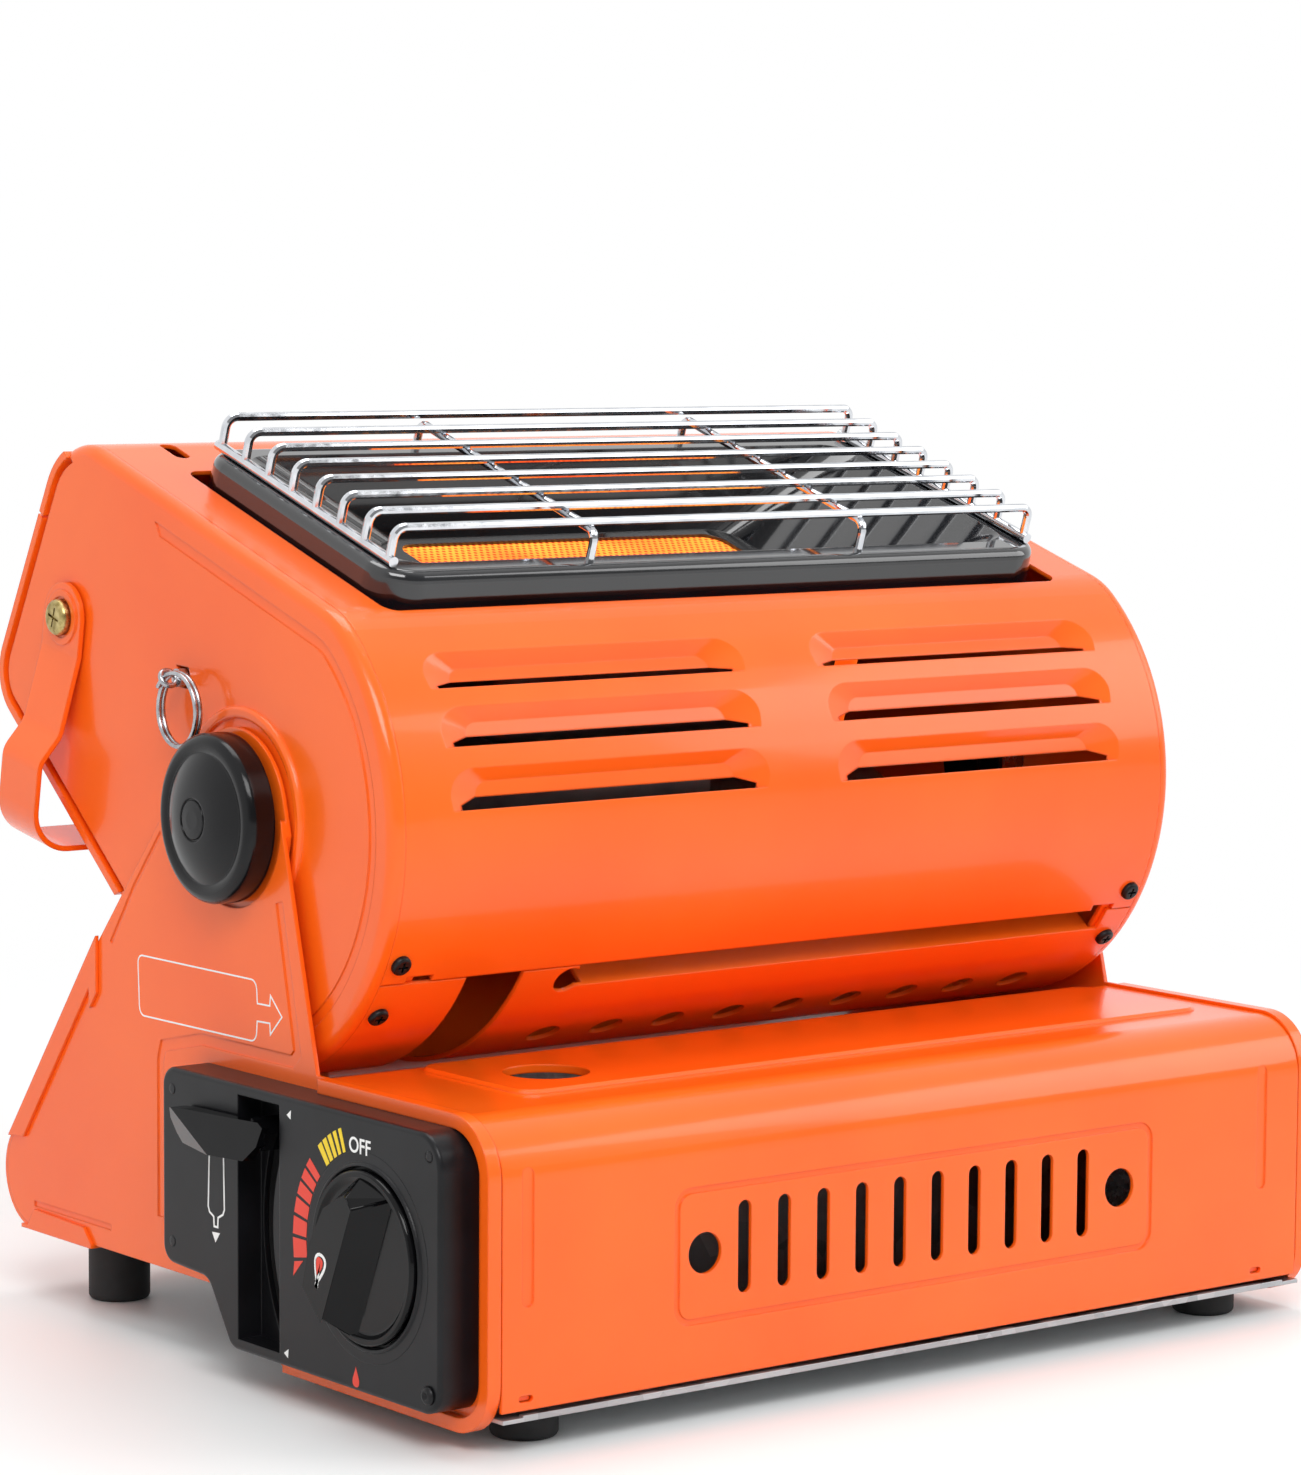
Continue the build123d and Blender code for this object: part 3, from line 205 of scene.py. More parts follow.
def zinc_plate():
    """Bright zinc-plated steel for the ring, the pin, studs and springs."""
    material, tree, shader = finish_material("zinc_plate", Metallic=1.0)
    two_tone(tree, shader, span(tree, grain(tree, 4), 0, 1), "#9a9ca0", "#bfc1c5")
    tree.links.new(span(tree, grain(tree, 2), 0.18, 0.34), shader.inputs["Roughness"])
    bumped(tree, shader, grain(tree, 0.8), 0.08, 0.05, 0.2)
    return material


def galvanised_sheet():
    """Hot-dip zinc: patches of crystals a few millimetres wide, each with its own sheen."""
    material, tree, shader = finish_material("galvanised_sheet", Metallic=1.0)
    place = add(tree, "TexCoord").outputs["Object"]
    cells = add(tree, "TexVoronoi", {"Vector": place, "Scale": 1000.0 / 7}).outputs["Color"]
    tone = add(tree, "SeparateColor", {"Color": cells}).outputs["Red"]
    two_tone(tree, shader, tone, "#a3a7aa", "#c6c9cb")
    tree.links.new(span(tree, tone, 0.3, 0.48), shader.inputs["Roughness"])
    bumped(tree, shader, grain(tree, 0.9), 0.12, 0.06, 0.3)
    return material


def plain_steel():
    """Cold-rolled sheet inside the head, slightly blued by heat."""
    material, tree, shader = finish_material("plain_steel", Metallic=1.0)
    two_tone(tree, shader, span(tree, grain(tree, 25, 4), 0, 1), "#5d5f66", "#84807c")
    tree.links.new(span(tree, grain(tree, 5), 0.34, 0.55), shader.inputs["Roughness"])
    bumped(tree, shader, grain(tree, 1.0), 0.1, 0.05, 0.3)
    return material


def moulded_black():
    """Injection-moulded heat-resistant plastic with a polished mould face."""
    material, tree, shader = finish_material("moulded_black", Roughness=0.16, IOR=1.36)
    two_tone(tree, shader, span(tree, grain(tree, 18), 0, 1), "#08080a", "#0f0f12")
    bumped(tree, shader, grain(tree, 1.4, 1), 0.03, 0.06, 0.5)
    return material


def satin_black():
    """The same plastic with a fine spark-eroded face, as on the flat control plates."""
    material, tree, shader = finish_material("satin_black", Roughness=0.3, IOR=1.33)
    two_tone(tree, shader, span(tree, grain(tree, 15), 0, 1), "#101012", "#17171a")
    bumped(tree, shader, grain(tree, 0.6, 2), 0.1, 0.05, 0.5)
    return material


def gloss_black():
    """Polished black plastic of the knob: deep, with sharp highlights along its edges."""
    material, tree, shader = finish_material("gloss_black", Roughness=0.1, IOR=1.3)
    two_tone(tree, shader, span(tree, grain(tree, 12), 0, 1), "#060607", "#0b0b0d")
    bumped(tree, shader, grain(tree, 1.6, 1), 0.02, 0.06)
    return material


def foot_rubber():
    """Pressed rubber: dull, a little dusty."""
    material, tree, shader = finish_material("foot_rubber", Roughness=0.72, IOR=1.52)
    two_tone(tree, shader, span(tree, grain(tree, 5, 3), 0, 1), "#131314", "#1f1f20")
    bumped(tree, shader, grain(tree, 0.7, 2), 0.3, 0.08, 0.5)
    return material


def turned_brass():
    """Brass bar stock with fine turning marks."""
    material, tree, shader = finish_material("turned_brass", Metallic=1.0)
    two_tone(tree, shader, span(tree, grain(tree, 8), 0, 1), "#a5823f", "#c9a65c")
    tree.links.new(span(tree, grain(tree, 2), 0.22, 0.4), shader.inputs["Roughness"])
    bumped(tree, shader, grain(tree, 0.8, 2, (6, 1, 1)), 0.12, 0.05, 0.3)
    return material


def drawn_copper():
    """Soft copper pipe, slightly dulled."""
    material, tree, shader = finish_material("drawn_copper", Metallic=1.0)
    two_tone(tree, shader, span(tree, grain(tree, 12, 3), 0, 1), "#a9603c", "#cc8a62")
    tree.links.new(span(tree, grain(tree, 3), 0.25, 0.45), shader.inputs["Roughness"])
    bumped(tree, shader, grain(tree, 1.0), 0.08, 0.05)
    return material


def yellow_zinc():
    """Yellow-passivated zinc on the handle's screws: gold with green and pink patches."""
    material, tree, shader = finish_material("yellow_zinc", Metallic=1.0)
    two_tone(tree, shader, span(tree, grain(tree, 2.5, 3), 0, 1), "#8d7a45", "#d0bd83")
    tree.links.new(span(tree, grain(tree, 1.5), 0.24, 0.42), shader.inputs["Roughness"])
    bumped(tree, shader, grain(tree, 0.5), 0.12, 0.04, 0.25)
    return material


def black_oxide():
    """Blackened steel screws, a little uneven in tone and roughness."""
    material, tree, shader = finish_material("black_oxide", Metallic=0.6)
    two_tone(tree, shader, span(tree, grain(tree, 2, 3), 0, 1), "#101011", "#262628")
    tree.links.new(span(tree, grain(tree, 1), 0.28, 0.5), shader.inputs["Roughness"])
    bumped(tree, shader, grain(tree, 0.5), 0.15, 0.04, 0.2)
    return material


def die_cast():
    """Grey cast alloy with the grain of the mould."""
    material, tree, shader = finish_material("die_cast", Metallic=1.0)
    two_tone(tree, shader, span(tree, grain(tree, 3, 3), 0, 1), "#77797c", "#9a9c9e")
    tree.links.new(span(tree, grain(tree, 1.5), 0.4, 0.6), shader.inputs["Roughness"])
    bumped(tree, shader, grain(tree, 0.7, 3), 0.3, 0.08, 0.4)
    return material


def grey_moulding():
    """Plain grey plastic of the igniter's body."""
    material, tree, shader = finish_material("grey_moulding", Roughness=0.5, IOR=1.5)
    two_tone(tree, shader, span(tree, grain(tree, 6), 0, 1), "#4c4c4f", "#5a5a5d")
    bumped(tree, shader, grain(tree, 0.8, 2), 0.15, 0.05, 0.4)
    return material


def painted_glow_ceramic():
    """Cordierite plate at work, drilled all over with fine rows of holes; its orange heat is painted glow, an
    emission in its own colour with brighter painted patches, and the holes get painted shade.
    """
    material, tree, shader = finish_material("painted_glow_ceramic", Roughness=0.85)
    place = add(tree, "TexCoord").outputs["Object"]
    flat = add(tree, "Mapping", {"Vector": place, "Rotation": (-REST_TILT, 0, 0)}).outputs["Vector"]
    axes = add(tree, "SeparateXYZ", {"Vector": flat})
    pitch = 2.1 * MM                          # the real rows are about 1.5 mm apart
    waves = []
    for x_part, y_part in ((1, 0.577), (1, -0.577), (0, 1.155)):
        across = add(tree, "Math", {0: axes.outputs["X"], 1: x_part * 2 * pi / pitch}, operation="MULTIPLY")
        along = add(tree, "Math", {0: axes.outputs["Y"], 1: y_part * 2 * pi / pitch}, operation="MULTIPLY")
        both = add(tree, "Math", {0: across.outputs[0], 1: along.outputs[0]}, operation="ADD")
        waves.append(add(tree, "Math", {0: both.outputs[0]}, operation="COSINE").outputs[0])
    total = add(tree, "Math", {0: waves[0], 1: waves[1]}, operation="ADD").outputs[0]
    total = add(tree, "Math", {0: total, 1: waves[2]}, operation="ADD").outputs[0]
    hole = add(tree, "MapRange", {"Value": total, "From Min": 0.2, "From Max": 1.6}).outputs["Result"]
    # painted glow: brighter and darker patches of the emitted colour, spread at random over the plate
    blobs = grain(tree, 38, 1)
    heat = add(tree, "MapRange", {"Value": blobs, "From Min": 0.35, "From Max": 0.62}).outputs["Result"]
    hot = blend(tree, heat, srgb("#f4500c"), srgb("#ffa436"))
    # painted shade: the holes are coloured a darker red
    out = blend(tree, hole, hot, srgb("#b32a04"))
    tree.links.new(out, shader.inputs["Base Color"])
    # painted glow: the plate's own colour is also emitted as light, though the plate is no lamp
    tree.links.new(out, shader.inputs["Emission Color"])
    shader.inputs["Emission Strength"].default_value = 1.1
    down = add(tree, "Math", {0: 1.0, 1: hole}, operation="SUBTRACT").outputs[0]
    bumped(tree, shader, down, 0.6, 0.5)
    return material


def screen_print(name, tone):
    """Pad-printed ink: flat and slightly satin, a few microns thick."""
    material, tree, shader = finish_material(name, Roughness=0.45, IOR=1.48)
    two_tone(tree, shader, span(tree, grain(tree, 4, 2), 0, 1), tone, tone)
    bumped(tree, shader, grain(tree, 0.5), 0.1, 0.02)
    return material


FINISH = {
    "orange_paint": orange_stove_enamel(),
    "galvanised": galvanised_sheet(),
    "black_enamel": black_vitreous_enamel(),
    "chrome_wire": bright_chrome(),
    "ceramic": painted_glow_ceramic(),
    "brass": turned_brass(),
    "copper": drawn_copper(),
    "zinc_yellow": yellow_zinc(),
    "black_screw": black_oxide(),
    "plated_steel": zinc_plate(),
    "black_plastic": moulded_black(),
    "black_rubber": foot_rubber(),
    "raw_steel": plain_steel(),
    "cast_alloy": die_cast(),
    "grey_plastic": grey_moulding(),
}
WHITE_INK = screen_print("white_ink", "#f2f2f0")
YELLOW_INK = screen_print("yellow_ink", "#f4d21f")
RED_INK = screen_print("red_ink", "#e8402c")
SATIN_BLACK = satin_black()
KNOB_BLACK = gloss_black()
SLOT_OF = {part["node"]: part["material_slot"] for part in frame["record"]["subparts"]}


def dress(node, material):
    """Give every face of a solid the same material."""
    mesh = NODES[node].data
    if not mesh.materials:
        mesh.materials.append(material)
    for i in range(len(mesh.materials)):
        mesh.materials[i] = material


for node_name, slot_name in SLOT_OF.items():
    dress(node_name, FINISH[slot_name])
dress("control_panel", SATIN_BLACK)
dress("cartridge_lever", KNOB_BLACK)


# ---- mesh tools ----
WELD = 1e-6                       # vertices closer than this are one
INK = 0.06 * MM                   # how thick the printed ink is


def as_piece(name, mesh, material, body):
    """Dress a mesh that is already in its place, in metres, and let it ride on a body."""
    mesh.name = name
    mesh.materials.clear()
    mesh.materials.append(material)
    piece = bpy.data.objects.new(name, mesh)
    bpy.context.collection.objects.link(piece)
    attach(piece, body)
    return piece


def mesh_of(bm, smooth=False):
    """Mesh of a finished bmesh; its faces keep their own shading unless all are to be smooth."""
    bmesh.ops.recalc_face_normals(bm, faces=bm.faces)
    mesh = bpy.data.meshes.new("made")
    bm.to_mesh(mesh)
    bm.free()
    if smooth:
        mesh.shade_smooth()
    return mesh


def mesh_of_curve(curve):
    """Closed mesh of a curve or of letters, with the seams between their faces welded."""
    held = bpy.data.objects.new("held_curve", curve)
    bpy.context.collection.objects.link(held)
    mesh = bpy.data.meshes.new_from_object(held.evaluated_get(bpy.context.evaluated_depsgraph_get()))
    bpy.data.objects.remove(held)
    bm = bmesh.new()
    bm.from_mesh(mesh)
    bmesh.ops.remove_doubles(bm, verts=bm.verts, dist=WELD)
    return mesh_of(bm)


def lathe(bm, profile, steps=96):
    """Revolve a profile of (x, radius) in millimetres about the X axis."""
    points = [bm.verts.new((x * MM, radius * MM, 0)) for x, radius in profile]
    edges = [bm.edges.new(pair) for pair in zip(points, points[1:] + points[:1])]
    bmesh.ops.spin(bm, geom=points + edges, cent=(0, 0, 0), axis=(1, 0, 0), dvec=(0, 0, 0), angle=2 * pi,
                   steps=steps, use_merge=True)
    bmesh.ops.remove_doubles(bm, verts=bm.verts, dist=WELD)
    bmesh.ops.delete(bm, geom=[edge for edge in bm.edges if not edge.link_faces], context="EDGES")


def moved(points, anchor):
    """Points of (y, z) in millimetres from an anchor, as (y, z) in metres."""
    return [(anchor.y + y * MM, anchor.z + z * MM) for y, z in points]


def printed(bm, outline, x, line=0.0, rounding=0.0, rounded=(), height=INK):
    """Raise a patch on a face that looks along -X.

    The outline is (y, z) in metres. With a line width only the line along the outline is raised. Corners
    whose places in the outline are in rounded get the rounding.
    """
    corners = [bm.verts.new((x, y, z)) for y, z in outline]
    face = bm.faces.new(corners)
    if rounding:
        chosen = [corners[i] for i in rounded]
        cut = bmesh.ops.bevel(bm, geom=chosen, offset=rounding, segments=5, profile=0.5, affect="VERTICES",
                              material=-1)
        face = cut["verts"][0].link_faces[0]
    face.normal_update()
    faces = [face]
    if line:
        faces = bmesh.ops.inset_region(bm, faces=[face], thickness=line, use_even_offset=True,
                                       use_boundary=True)["faces"]
        bmesh.ops.delete(bm, geom=[face], context="FACES")
    made = bmesh.ops.extrude_face_region(bm, geom=faces)
    top = [v for v in made["geom"] if isinstance(v, bmesh.types.BMVert)]
    bmesh.ops.translate(bm, verts=top, vec=(-height, 0, 0))


# ---- printed marks ----
def about_valve(radius, angle):
    """Point at a polar angle counted up from +Y about the valve axis, in millimetres from it."""
    return (radius * cos(radians(angle)), radius * sin(radians(angle)))


TICK_INNER = 26.4
TICK_OUTER = 32.4
LOW_TICKS, LOW_START, LOW_PITCH = 5, 70.0, 4.4
HIGH_TICKS, HIGH_START, HIGH_GAP = 6, 40.0, 1.7


def flame_scale():
    """Ticks that grow into wedges from the lowest to the full flame."""
    def block(bm, start, wide):
        end = start - wide
        corners = ((TICK_INNER, start), (TICK_OUTER, start), (TICK_OUTER, end), (TICK_INNER, end))
        printed(bm, moved([about_valve(r, a) for r, a in corners], VALVE), PANEL_FACE_X)

    ticks = bmesh.new()
    for i in range(LOW_TICKS):
        block(ticks, LOW_START - i * LOW_PITCH, 2.4 + 0.25 * i)
    as_piece("scale_low", mesh_of(ticks), YELLOW_INK, "base")
    wedges = bmesh.new()
    start = HIGH_START
    for i in range(HIGH_TICKS):
        wide = 4.6 + 0.9 * i
        block(wedges, start, wide)
        start -= wide + HIGH_GAP
    tail = ((28.4, start), (TICK_OUTER, start), (TICK_OUTER + 1.4, start - 6.0))
    printed(wedges, moved([about_valve(r, a) for r, a in tail], VALVE), PANEL_FACE_X)
    as_piece("scale_high", mesh_of(wedges), RED_INK, "base")


DROP_WIDTH = 0.42                 # widest half of a drop, to its height, before the taper


def drop_points(height, lean_deg, steps=24):
    """Teardrop about (0, 0) with its tip up, turned by an angle, in millimetres."""
    lean = radians(lean_deg)
    points = []
    for i in range(steps):
        a = 2 * pi * i / steps
        across = sin(a) * (0.5 - 0.5 * cos(a)) * height * DROP_WIDTH
        up = cos(a) * height / 2
        points.append((across * cos(lean) - up * sin(lean), across * sin(lean) + up * cos(lean)))
    return points


def shifted(points, y, z):
    return [(a + y, b + z) for a, b in points]


OFF_SIZE = 5.4
OFF_PLACE = (2.9, 26.9)


def off_mark():
    """The one word on the panel, read from the -X side."""
    curve = bpy.data.curves.new("off_letters", "FONT")
    curve.body = "OFF"
    curve.size = OFF_SIZE * MM
    curve.align_x = "CENTER"
    curve.align_y = "CENTER"
    curve.offset = 0.07 * MM
    curve.extrude = INK / 2
    mesh = mesh_of_curve(curve)
    (y, z), = moved([OFF_PLACE], VALVE)
    middle = PANEL_FACE_X - INK / 2
    mesh.transform(Matrix(((0, 0, -1, middle), (-1, 0, 0, y), (0, 1, 0, z), (0, 0, 0, 1))))
    as_piece("off_mark", mesh, WHITE_INK, "base")


POINTERS = (
    ((35.2, 30.1), (33.3, 31.5), (33.5, 29.2)),
    ((36.5, -30.5), (34.5, -29.2), (34.7, -31.5)),
    ((69.9, -5.3), (66.2, -5.1), (68.3, -7.8)),
)
CAN = ((71.4, 16.2), (72.0, 1.0), (71.3, -0.5), (69.4, -1.4), (69.2, -4.0), (67.0, -4.0), (66.8, -1.4),
       (64.6, -0.3), (63.8, 1.2), (64.2, 16.1))
CAN_LINE = 0.55 * MM


def white_marks():
    """Small pointers, and the outline of a gas cartridge beside the lever."""
    marks = bmesh.new()
    for triangle in POINTERS:
        printed(marks, moved(triangle, VALVE), PANEL_FACE_X)
    printed(marks, moved(CAN, VALVE), PANEL_FACE_X, line=CAN_LINE)
    as_piece("white_marks", mesh_of(marks), WHITE_INK, "base")


def ignite_mark():
    """Red drop below the knob, where turning it lights the burner."""
    drop = bmesh.new()
    printed(drop, moved(shifted(drop_points(5.2, 0), 4.5, -30.4), VALVE), PANEL_FACE_X)
    as_piece("ignite_mark", mesh_of(drop), RED_INK, "base")


flame_scale()
off_mark()
white_marks()
ignite_mark()

ARROW = ((45.7, -40.8), (-12.4, -40.6), (-12.9, -46.5), (-18.3, -46.4), (-18.7, -43.5), (-24.4, -48.8),
         (-18.6, -54.4), (-18.3, -51.3), (-12.8, -51.5), (-12.3, -56.9), (44.8, -57.3))
ARROW_LINE = 0.42 * MM
BOX_ROUNDING = 2.5 * MM
BOX_CORNERS = (0, 1, 9, 10)       # the box's own corners among the arrow's points


def upright_arrow():
    """Thin white outline below the pivot: a box with an arrow that points where the head tilts."""
    outline = bmesh.new()
    printed(outline, moved(ARROW, PIVOT), UPRIGHT_FACE_X, line=ARROW_LINE, rounding=BOX_ROUNDING,
            rounded=BOX_CORNERS)
    as_piece("upright_arrow", mesh_of(outline), WHITE_INK, "base")


upright_arrow()


# ---- ring, knob and panel fittings ----
RING_R = 9.6
RING_WIRE_R = 0.66
RING_TURNS = 2
RING_STEPS = 96                   # points of the wire's line in each turn
RING_RISE = 2.6                   # from the start of the wire to its end, along X
RING_SWING = radians(32.0)
EYE_PLAY = 0.3                    # the ring's line passes this far beside the eye's centre


def split_ring():
    """Key ring wound twice from round wire, hanging in the pin's eye."""
    count = RING_TURNS * RING_STEPS
    drop = (RING_R - EYE_PLAY) * MM
    centre = EYE + Vector((0, -sin(RING_SWING), -cos(RING_SWING))) * drop
    curve = bpy.data.curves.new("ring_wire", "CURVE")
    curve.dimensions = "3D"
    curve.bevel_depth = RING_WIRE_R * MM
    curve.bevel_resolution = 4
    curve.use_fill_caps = True
    line = curve.splines.new("NURBS")
    line.points.add(count)
    for i, point in enumerate(line.points):
        a = 2 * pi * i / RING_STEPS + 0.6
        lift = (i / count - 0.5) * RING_RISE * MM
        point.co = (centre.x + lift, centre.y + RING_R * MM * cos(a), centre.z + RING_R * MM * sin(a), 1)
    line.use_endpoint_u = True
    line.order_u = 4
    mesh = mesh_of_curve(curve)
    mesh.shade_smooth()
    ring = as_piece("split_ring", mesh, FINISH["plated_steel"], "pull_ring")
    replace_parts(ring, "pull_ring")


split_ring()

CREST_INSET = 0.1                 # the ink on the crest stays inside the knob's own size
GRIP_HEIGHT = 6.4
KNOB_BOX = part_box("control_knob")
KNOB_CREST = (KNOB_BOX[0].x - VALVE.x) / MM
KNOB_BACK = (KNOB_BOX[1].x - VALVE.x) / MM
KNOB_FLOOR = KNOB_CREST + GRIP_HEIGHT
KNOB_R = 21.6
KNOB_LEAN = radians(24.0)
# The grip's outline seen from the front, at its foot and at its crest: (along, across) the bar.
GRIP_FOOT = ((-20.6, -6.0), (-16.5, 13.4), (-4.0, 15.4), (9.0, 14.2), (18.6, 9.4), (20.4, -5.0))
GRIP_CREST = ((-18.6, 2.2), (-15.0, 12.0), (-4.0, 13.6), (7.0, 12.0), (14.5, 6.0), (13.0, 2.6))
GRIP_BEVEL = 0.55 * MM


def knob():
    """Gas knob: a rimmed disc and a bevelled grip bar with a slanting side, at full flame."""
    bm = bmesh.new()
    rim = KNOB_FLOOR - 1.2
    lathe(bm, ((KNOB_BACK, 0), (KNOB_BACK, KNOB_R), (KNOB_FLOOR - 0.6, KNOB_R), (rim, KNOB_R - 0.6),
               (rim, KNOB_R - 1.6), (KNOB_FLOOR - 0.2, KNOB_R - 2.4), (KNOB_FLOOR, KNOB_R - 3.2),
               (KNOB_FLOOR, 0)))
    for face in bm.faces:
        face.smooth = abs(face.normal.x) < 0.99
    loops = []
    for outline, x in ((GRIP_FOOT, KNOB_FLOOR + 0.2), (GRIP_CREST, KNOB_CREST + CREST_INSET)):
        ring = [bm.verts.new((x * MM, across * MM, along * MM)) for along, across in outline]
        bm.faces.new(ring)
        loops += [bm.edges.get(pair) for pair in zip(ring, ring[1:] + ring[:1])]
    sides = bmesh.ops.bridge_loops(bm, edges=loops)["faces"]
    slopes = {edge for face in sides for edge in face.edges}
    rims = [edge for edge in slopes if any(v.co.x < KNOB_FLOOR * MM for v in edge.verts)]
    rounded = bmesh.ops.bevel(bm, geom=rims, offset=GRIP_BEVEL, segments=3, profile=0.5, affect="EDGES",
                              material=-1)
    for face in rounded["faces"]:
        face.smooth = True
    mesh = mesh_of(bm)
    mesh.transform(Matrix.Translation(VALVE) @ Matrix.Rotation(KNOB_LEAN, 4, "X"))
    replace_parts(as_piece("gas_knob", mesh, KNOB_BLACK, "knob"), "control_knob")


def knob_stem():
    """Brass stem of the valve, cut off below the floor of the grip."""
    bm = bmesh.new()
    low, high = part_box("valve_spindle")
    back = (high.x - VALVE.x) / MM
    radius = (high.y - low.y) / 2 / MM
    front = KNOB_FLOOR + 0.8
    lathe(bm, ((back, 0), (back, radius), (front, radius), (front, 0)), steps=48)
    mesh = mesh_of(bm)
    mesh.transform(Matrix.Translation(VALVE))
    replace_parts(as_piece("knob_stem", mesh, FINISH["brass"], "knob"), "valve_spindle")


def knob_marks():
    """Flame sign on the crest of the grip: a red drop in a white outline."""
    crest_x = KNOB_BOX[0].x + CREST_INSET * MM
    white = bmesh.new()
    printed(white, moved(shifted(drop_points(9.4, 196), 10.2, -4.2), VALVE), crest_x, line=0.8 * MM)
    as_piece("knob_sign_rim", mesh_of(white), WHITE_INK, "knob")
    red = bmesh.new()
    printed(red, moved(shifted(drop_points(5.6, 196), 10.4, -3.4), VALVE), crest_x)
    as_piece("knob_sign", mesh_of(red), RED_INK, "knob")


knob()
knob_stem()
knob_marks()


def knob_seat_ring():
    """Raised lip round the knob, on a washer that lies flush in the panel."""
    bm = bmesh.new()
    face = (PANEL_FACE_X - VALVE.x) / MM
    lathe(bm, ((face + 1.2, 22.3), (face - 0.4, 22.3), (face - 0.65, 22.6), (face - 0.65, 23.0),
               (face - 0.4, 23.3), (face - 0.02, 23.5), (face - 0.02, 26.2), (face + 1.2, 25.9)))
    mesh = mesh_of(bm)
    mesh.transform(Matrix.Translation(VALVE))
    as_piece("knob_seat_ring", mesh, SATIN_BLACK, "base")


knob_seat_ring()


SCREW_HEAD_R = 2.4
THIRD_BOSS_UP = 18.0              # how far the third boss stands above the lowest one


def panel_fixings():
    """One screw shows at the low front corner; the other bosses have flush covers."""
    face = PANEL_FACE_X / MM
    low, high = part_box("panel_screws")
    inset = SCREW_HEAD_R * MM
    front, rear = low.y + inset, high.y - inset
    bottom, top = low.z + inset, high.z - inset
    bm = bmesh.new()
    lathe(bm, ((face + 8.0, 0), (face + 8.0, 1.1), (face, 1.1), (face, SCREW_HEAD_R), (face - 0.6, 2.3),
               (face - 1.0, 1.8), (face - 1.25, 1.0), (face - 0.8, 0.7), (face - 0.5, 0)), steps=32)
    mesh = mesh_of(bm, smooth=True)
    mesh.transform(Matrix.Translation((0, front, bottom)))
    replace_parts(as_piece("panel_screw", mesh, FINISH["black_screw"], "base"), "panel_screws")
    plugs = bmesh.new()
    for y, z in ((front, top), (rear, top), (rear, bottom + THIRD_BOSS_UP * MM)):
        plug = bmesh.new()
        lathe(plug, ((face + 3.0, 0), (face + 3.0, 1.15), (face, 1.15), (face - 0.02, 1.5), (face - 0.02, 0)),
              steps=32)
        bmesh.ops.translate(plug, verts=plug.verts, vec=(0, y, z))
        held = bpy.data.meshes.new("held")
        plug.to_mesh(held)
        plug.free()
        plugs.from_mesh(held)
    as_piece("panel_plugs", mesh_of(plugs), SATIN_BLACK, "base")


panel_fixings()


SEAL_DEPTH = 11.4 * MM            # from the panel's face to the end plate
SEAL_THICK = 2.6 * MM
SEAL_BANDS = ((43.0, 47.0), (57.0, 61.0))
SEAL_REACH = 30                   # degrees up and down about the valve axis


def lever_seal():
    """Foam strips between the panel and the end plate, either side of the lever's slot."""
    strips = bmesh.new()
    angles = range(-SEAL_REACH, SEAL_REACH + 1, 4)
    for near, far in SEAL_BANDS:
        ring = [about_valve(near, a) for a in angles] + [about_valve(far, -a) for a in angles]
        printed(strips, moved(ring, VALVE), PANEL_FACE_X + SEAL_DEPTH, height=SEAL_THICK)
    as_piece("lever_seal", mesh_of(strips), FINISH["black_rubber"], "base")


lever_seal()


# ---- studio ----
FLOOR_WHITE_FROM = 0.24           # metres from the centre, where the fade to white starts and ends
FLOOR_WHITE_TO = 0.80
FLOOR_TONE = "#f2f4f4"
WALL_LOW = 0.3                    # light of the front wall in a mirror, to the other walls' 1.0
AMBIENT = 0.55


def seen_rays(tree):
    """1 for what the camera sees, also in metal and glass, and 0 for light on the object."""
    path = add(tree, "LightPath")
    seen = path.outputs["Is Camera Ray"]
    for kind in ("Is Glossy Ray", "Is Transmission Ray"):
        seen = add(tree, "Math", {0: seen, 1: path.outputs[kind]}, operation="MAXIMUM").outputs[0]
    return seen


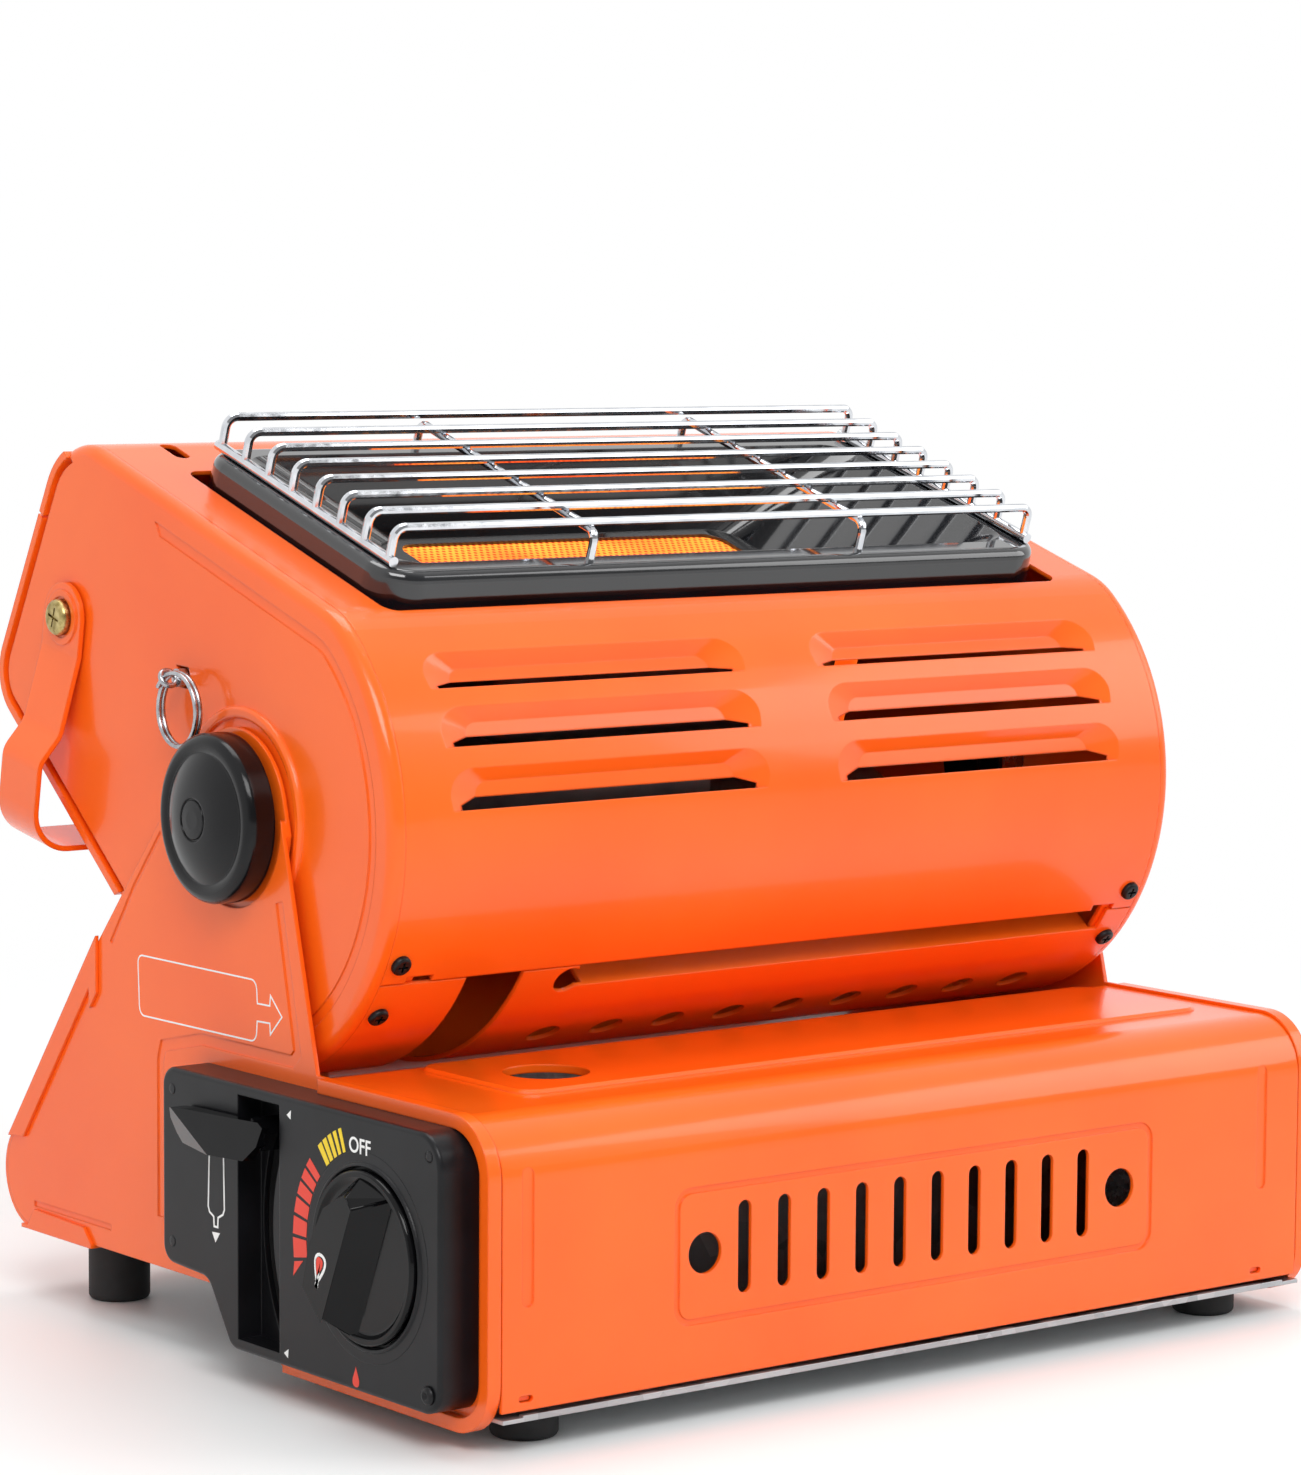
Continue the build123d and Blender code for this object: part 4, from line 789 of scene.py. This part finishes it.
def floor():
    """Pale floor that keeps the shadow near the heater and turns to the white background further out."""
    bm = bmesh.new()
    bmesh.ops.create_grid(bm, x_segments=2, y_segments=2, size=6.0)
    material, tree, shader = finish_material("studio_floor", Roughness=0.5)
    shader.inputs["Base Color"].default_value = srgb(FLOOR_TONE)
    place = add(tree, "TexCoord").outputs["Object"]
    away = add(tree, "VectorMath", {0: place}, operation="LENGTH").outputs["Value"]
    reach = {"Value": away, "From Min": FLOOR_WHITE_FROM, "From Max": FLOOR_WHITE_TO}
    fade = add(tree, "MapRange", reach, interpolation_type="SMOOTHSTEP").outputs["Result"]
    part = add(tree, "Math", {0: fade, 1: seen_rays(tree)}, operation="MULTIPLY").outputs[0]
    white = add(tree, "Emission", {"Color": srgb("#ffffff"), "Strength": 1.0}).outputs[0]
    mix = add(tree, "MixShader", {"Fac": part, 1: shader.outputs[0], 2: white}).outputs[0]
    tree.links.new(mix, tree.nodes["Material Output"].inputs["Surface"])
    mesh = mesh_of(bm)
    mesh.materials.append(material)
    ground = bpy.data.objects.new("floor", mesh)
    bpy.context.collection.objects.link(ground)


floor()


def world():
    """White studio; its front wall is greyer, as a room behind a camera is."""
    made = bpy.data.worlds.new("studio")
    bpy.context.scene.world = made
    made.use_nodes = True
    tree = made.node_tree
    tree.nodes.clear()
    path = add(tree, "LightPath")
    way = add(tree, "SeparateXYZ", {"Vector": add(tree, "TexCoord").outputs["Generated"]}).outputs["Y"]
    turn = {"Value": way, "From Min": -0.9, "From Max": -0.1, "To Min": WALL_LOW, "To Max": 1.0}
    wall = add(tree, "MapRange", turn, interpolation_type="SMOOTHSTEP").outputs["Result"]
    inside = add(tree, "Math", {0: wall, 1: path.outputs["Is Camera Ray"]}, operation="MAXIMUM").outputs[0]
    dim = add(tree, "Background", {"Color": srgb("#ffffff"), "Strength": AMBIENT})
    white = add(tree, "Background", {"Color": srgb("#ffffff"), "Strength": inside})
    mix = add(tree, "MixShader", {"Fac": seen_rays(tree), 1: dim.outputs[0], 2: white.outputs[0]})
    add(tree, "OutputWorld", {"Surface": mix.outputs[0]})


world()


def softbox(name, place, size, power, target=(0, 0, 0.12)):
    """Square lamp of a size in metres that faces the target."""
    light = bpy.data.lights.new(name, "AREA")
    light.shape = "RECTANGLE"
    light.size, light.size_y = size
    light.energy = power
    lamp = bpy.data.objects.new(name, light)
    bpy.context.collection.objects.link(lamp)
    lamp.location = place
    lamp.rotation_euler = (Vector(target) - Vector(place)).to_track_quat("-Z", "Y").to_euler()


softbox("key", (-0.9, -1.3, 1.5), (1.2, 0.8), 22)
softbox("fill", (1.4, -1.0, 0.9), (1.0, 1.0), 9)
softbox("top", (0.1, 0.3, 1.9), (1.4, 0.9), 14)
bpy.context.scene.view_settings.view_transform = "Standard"
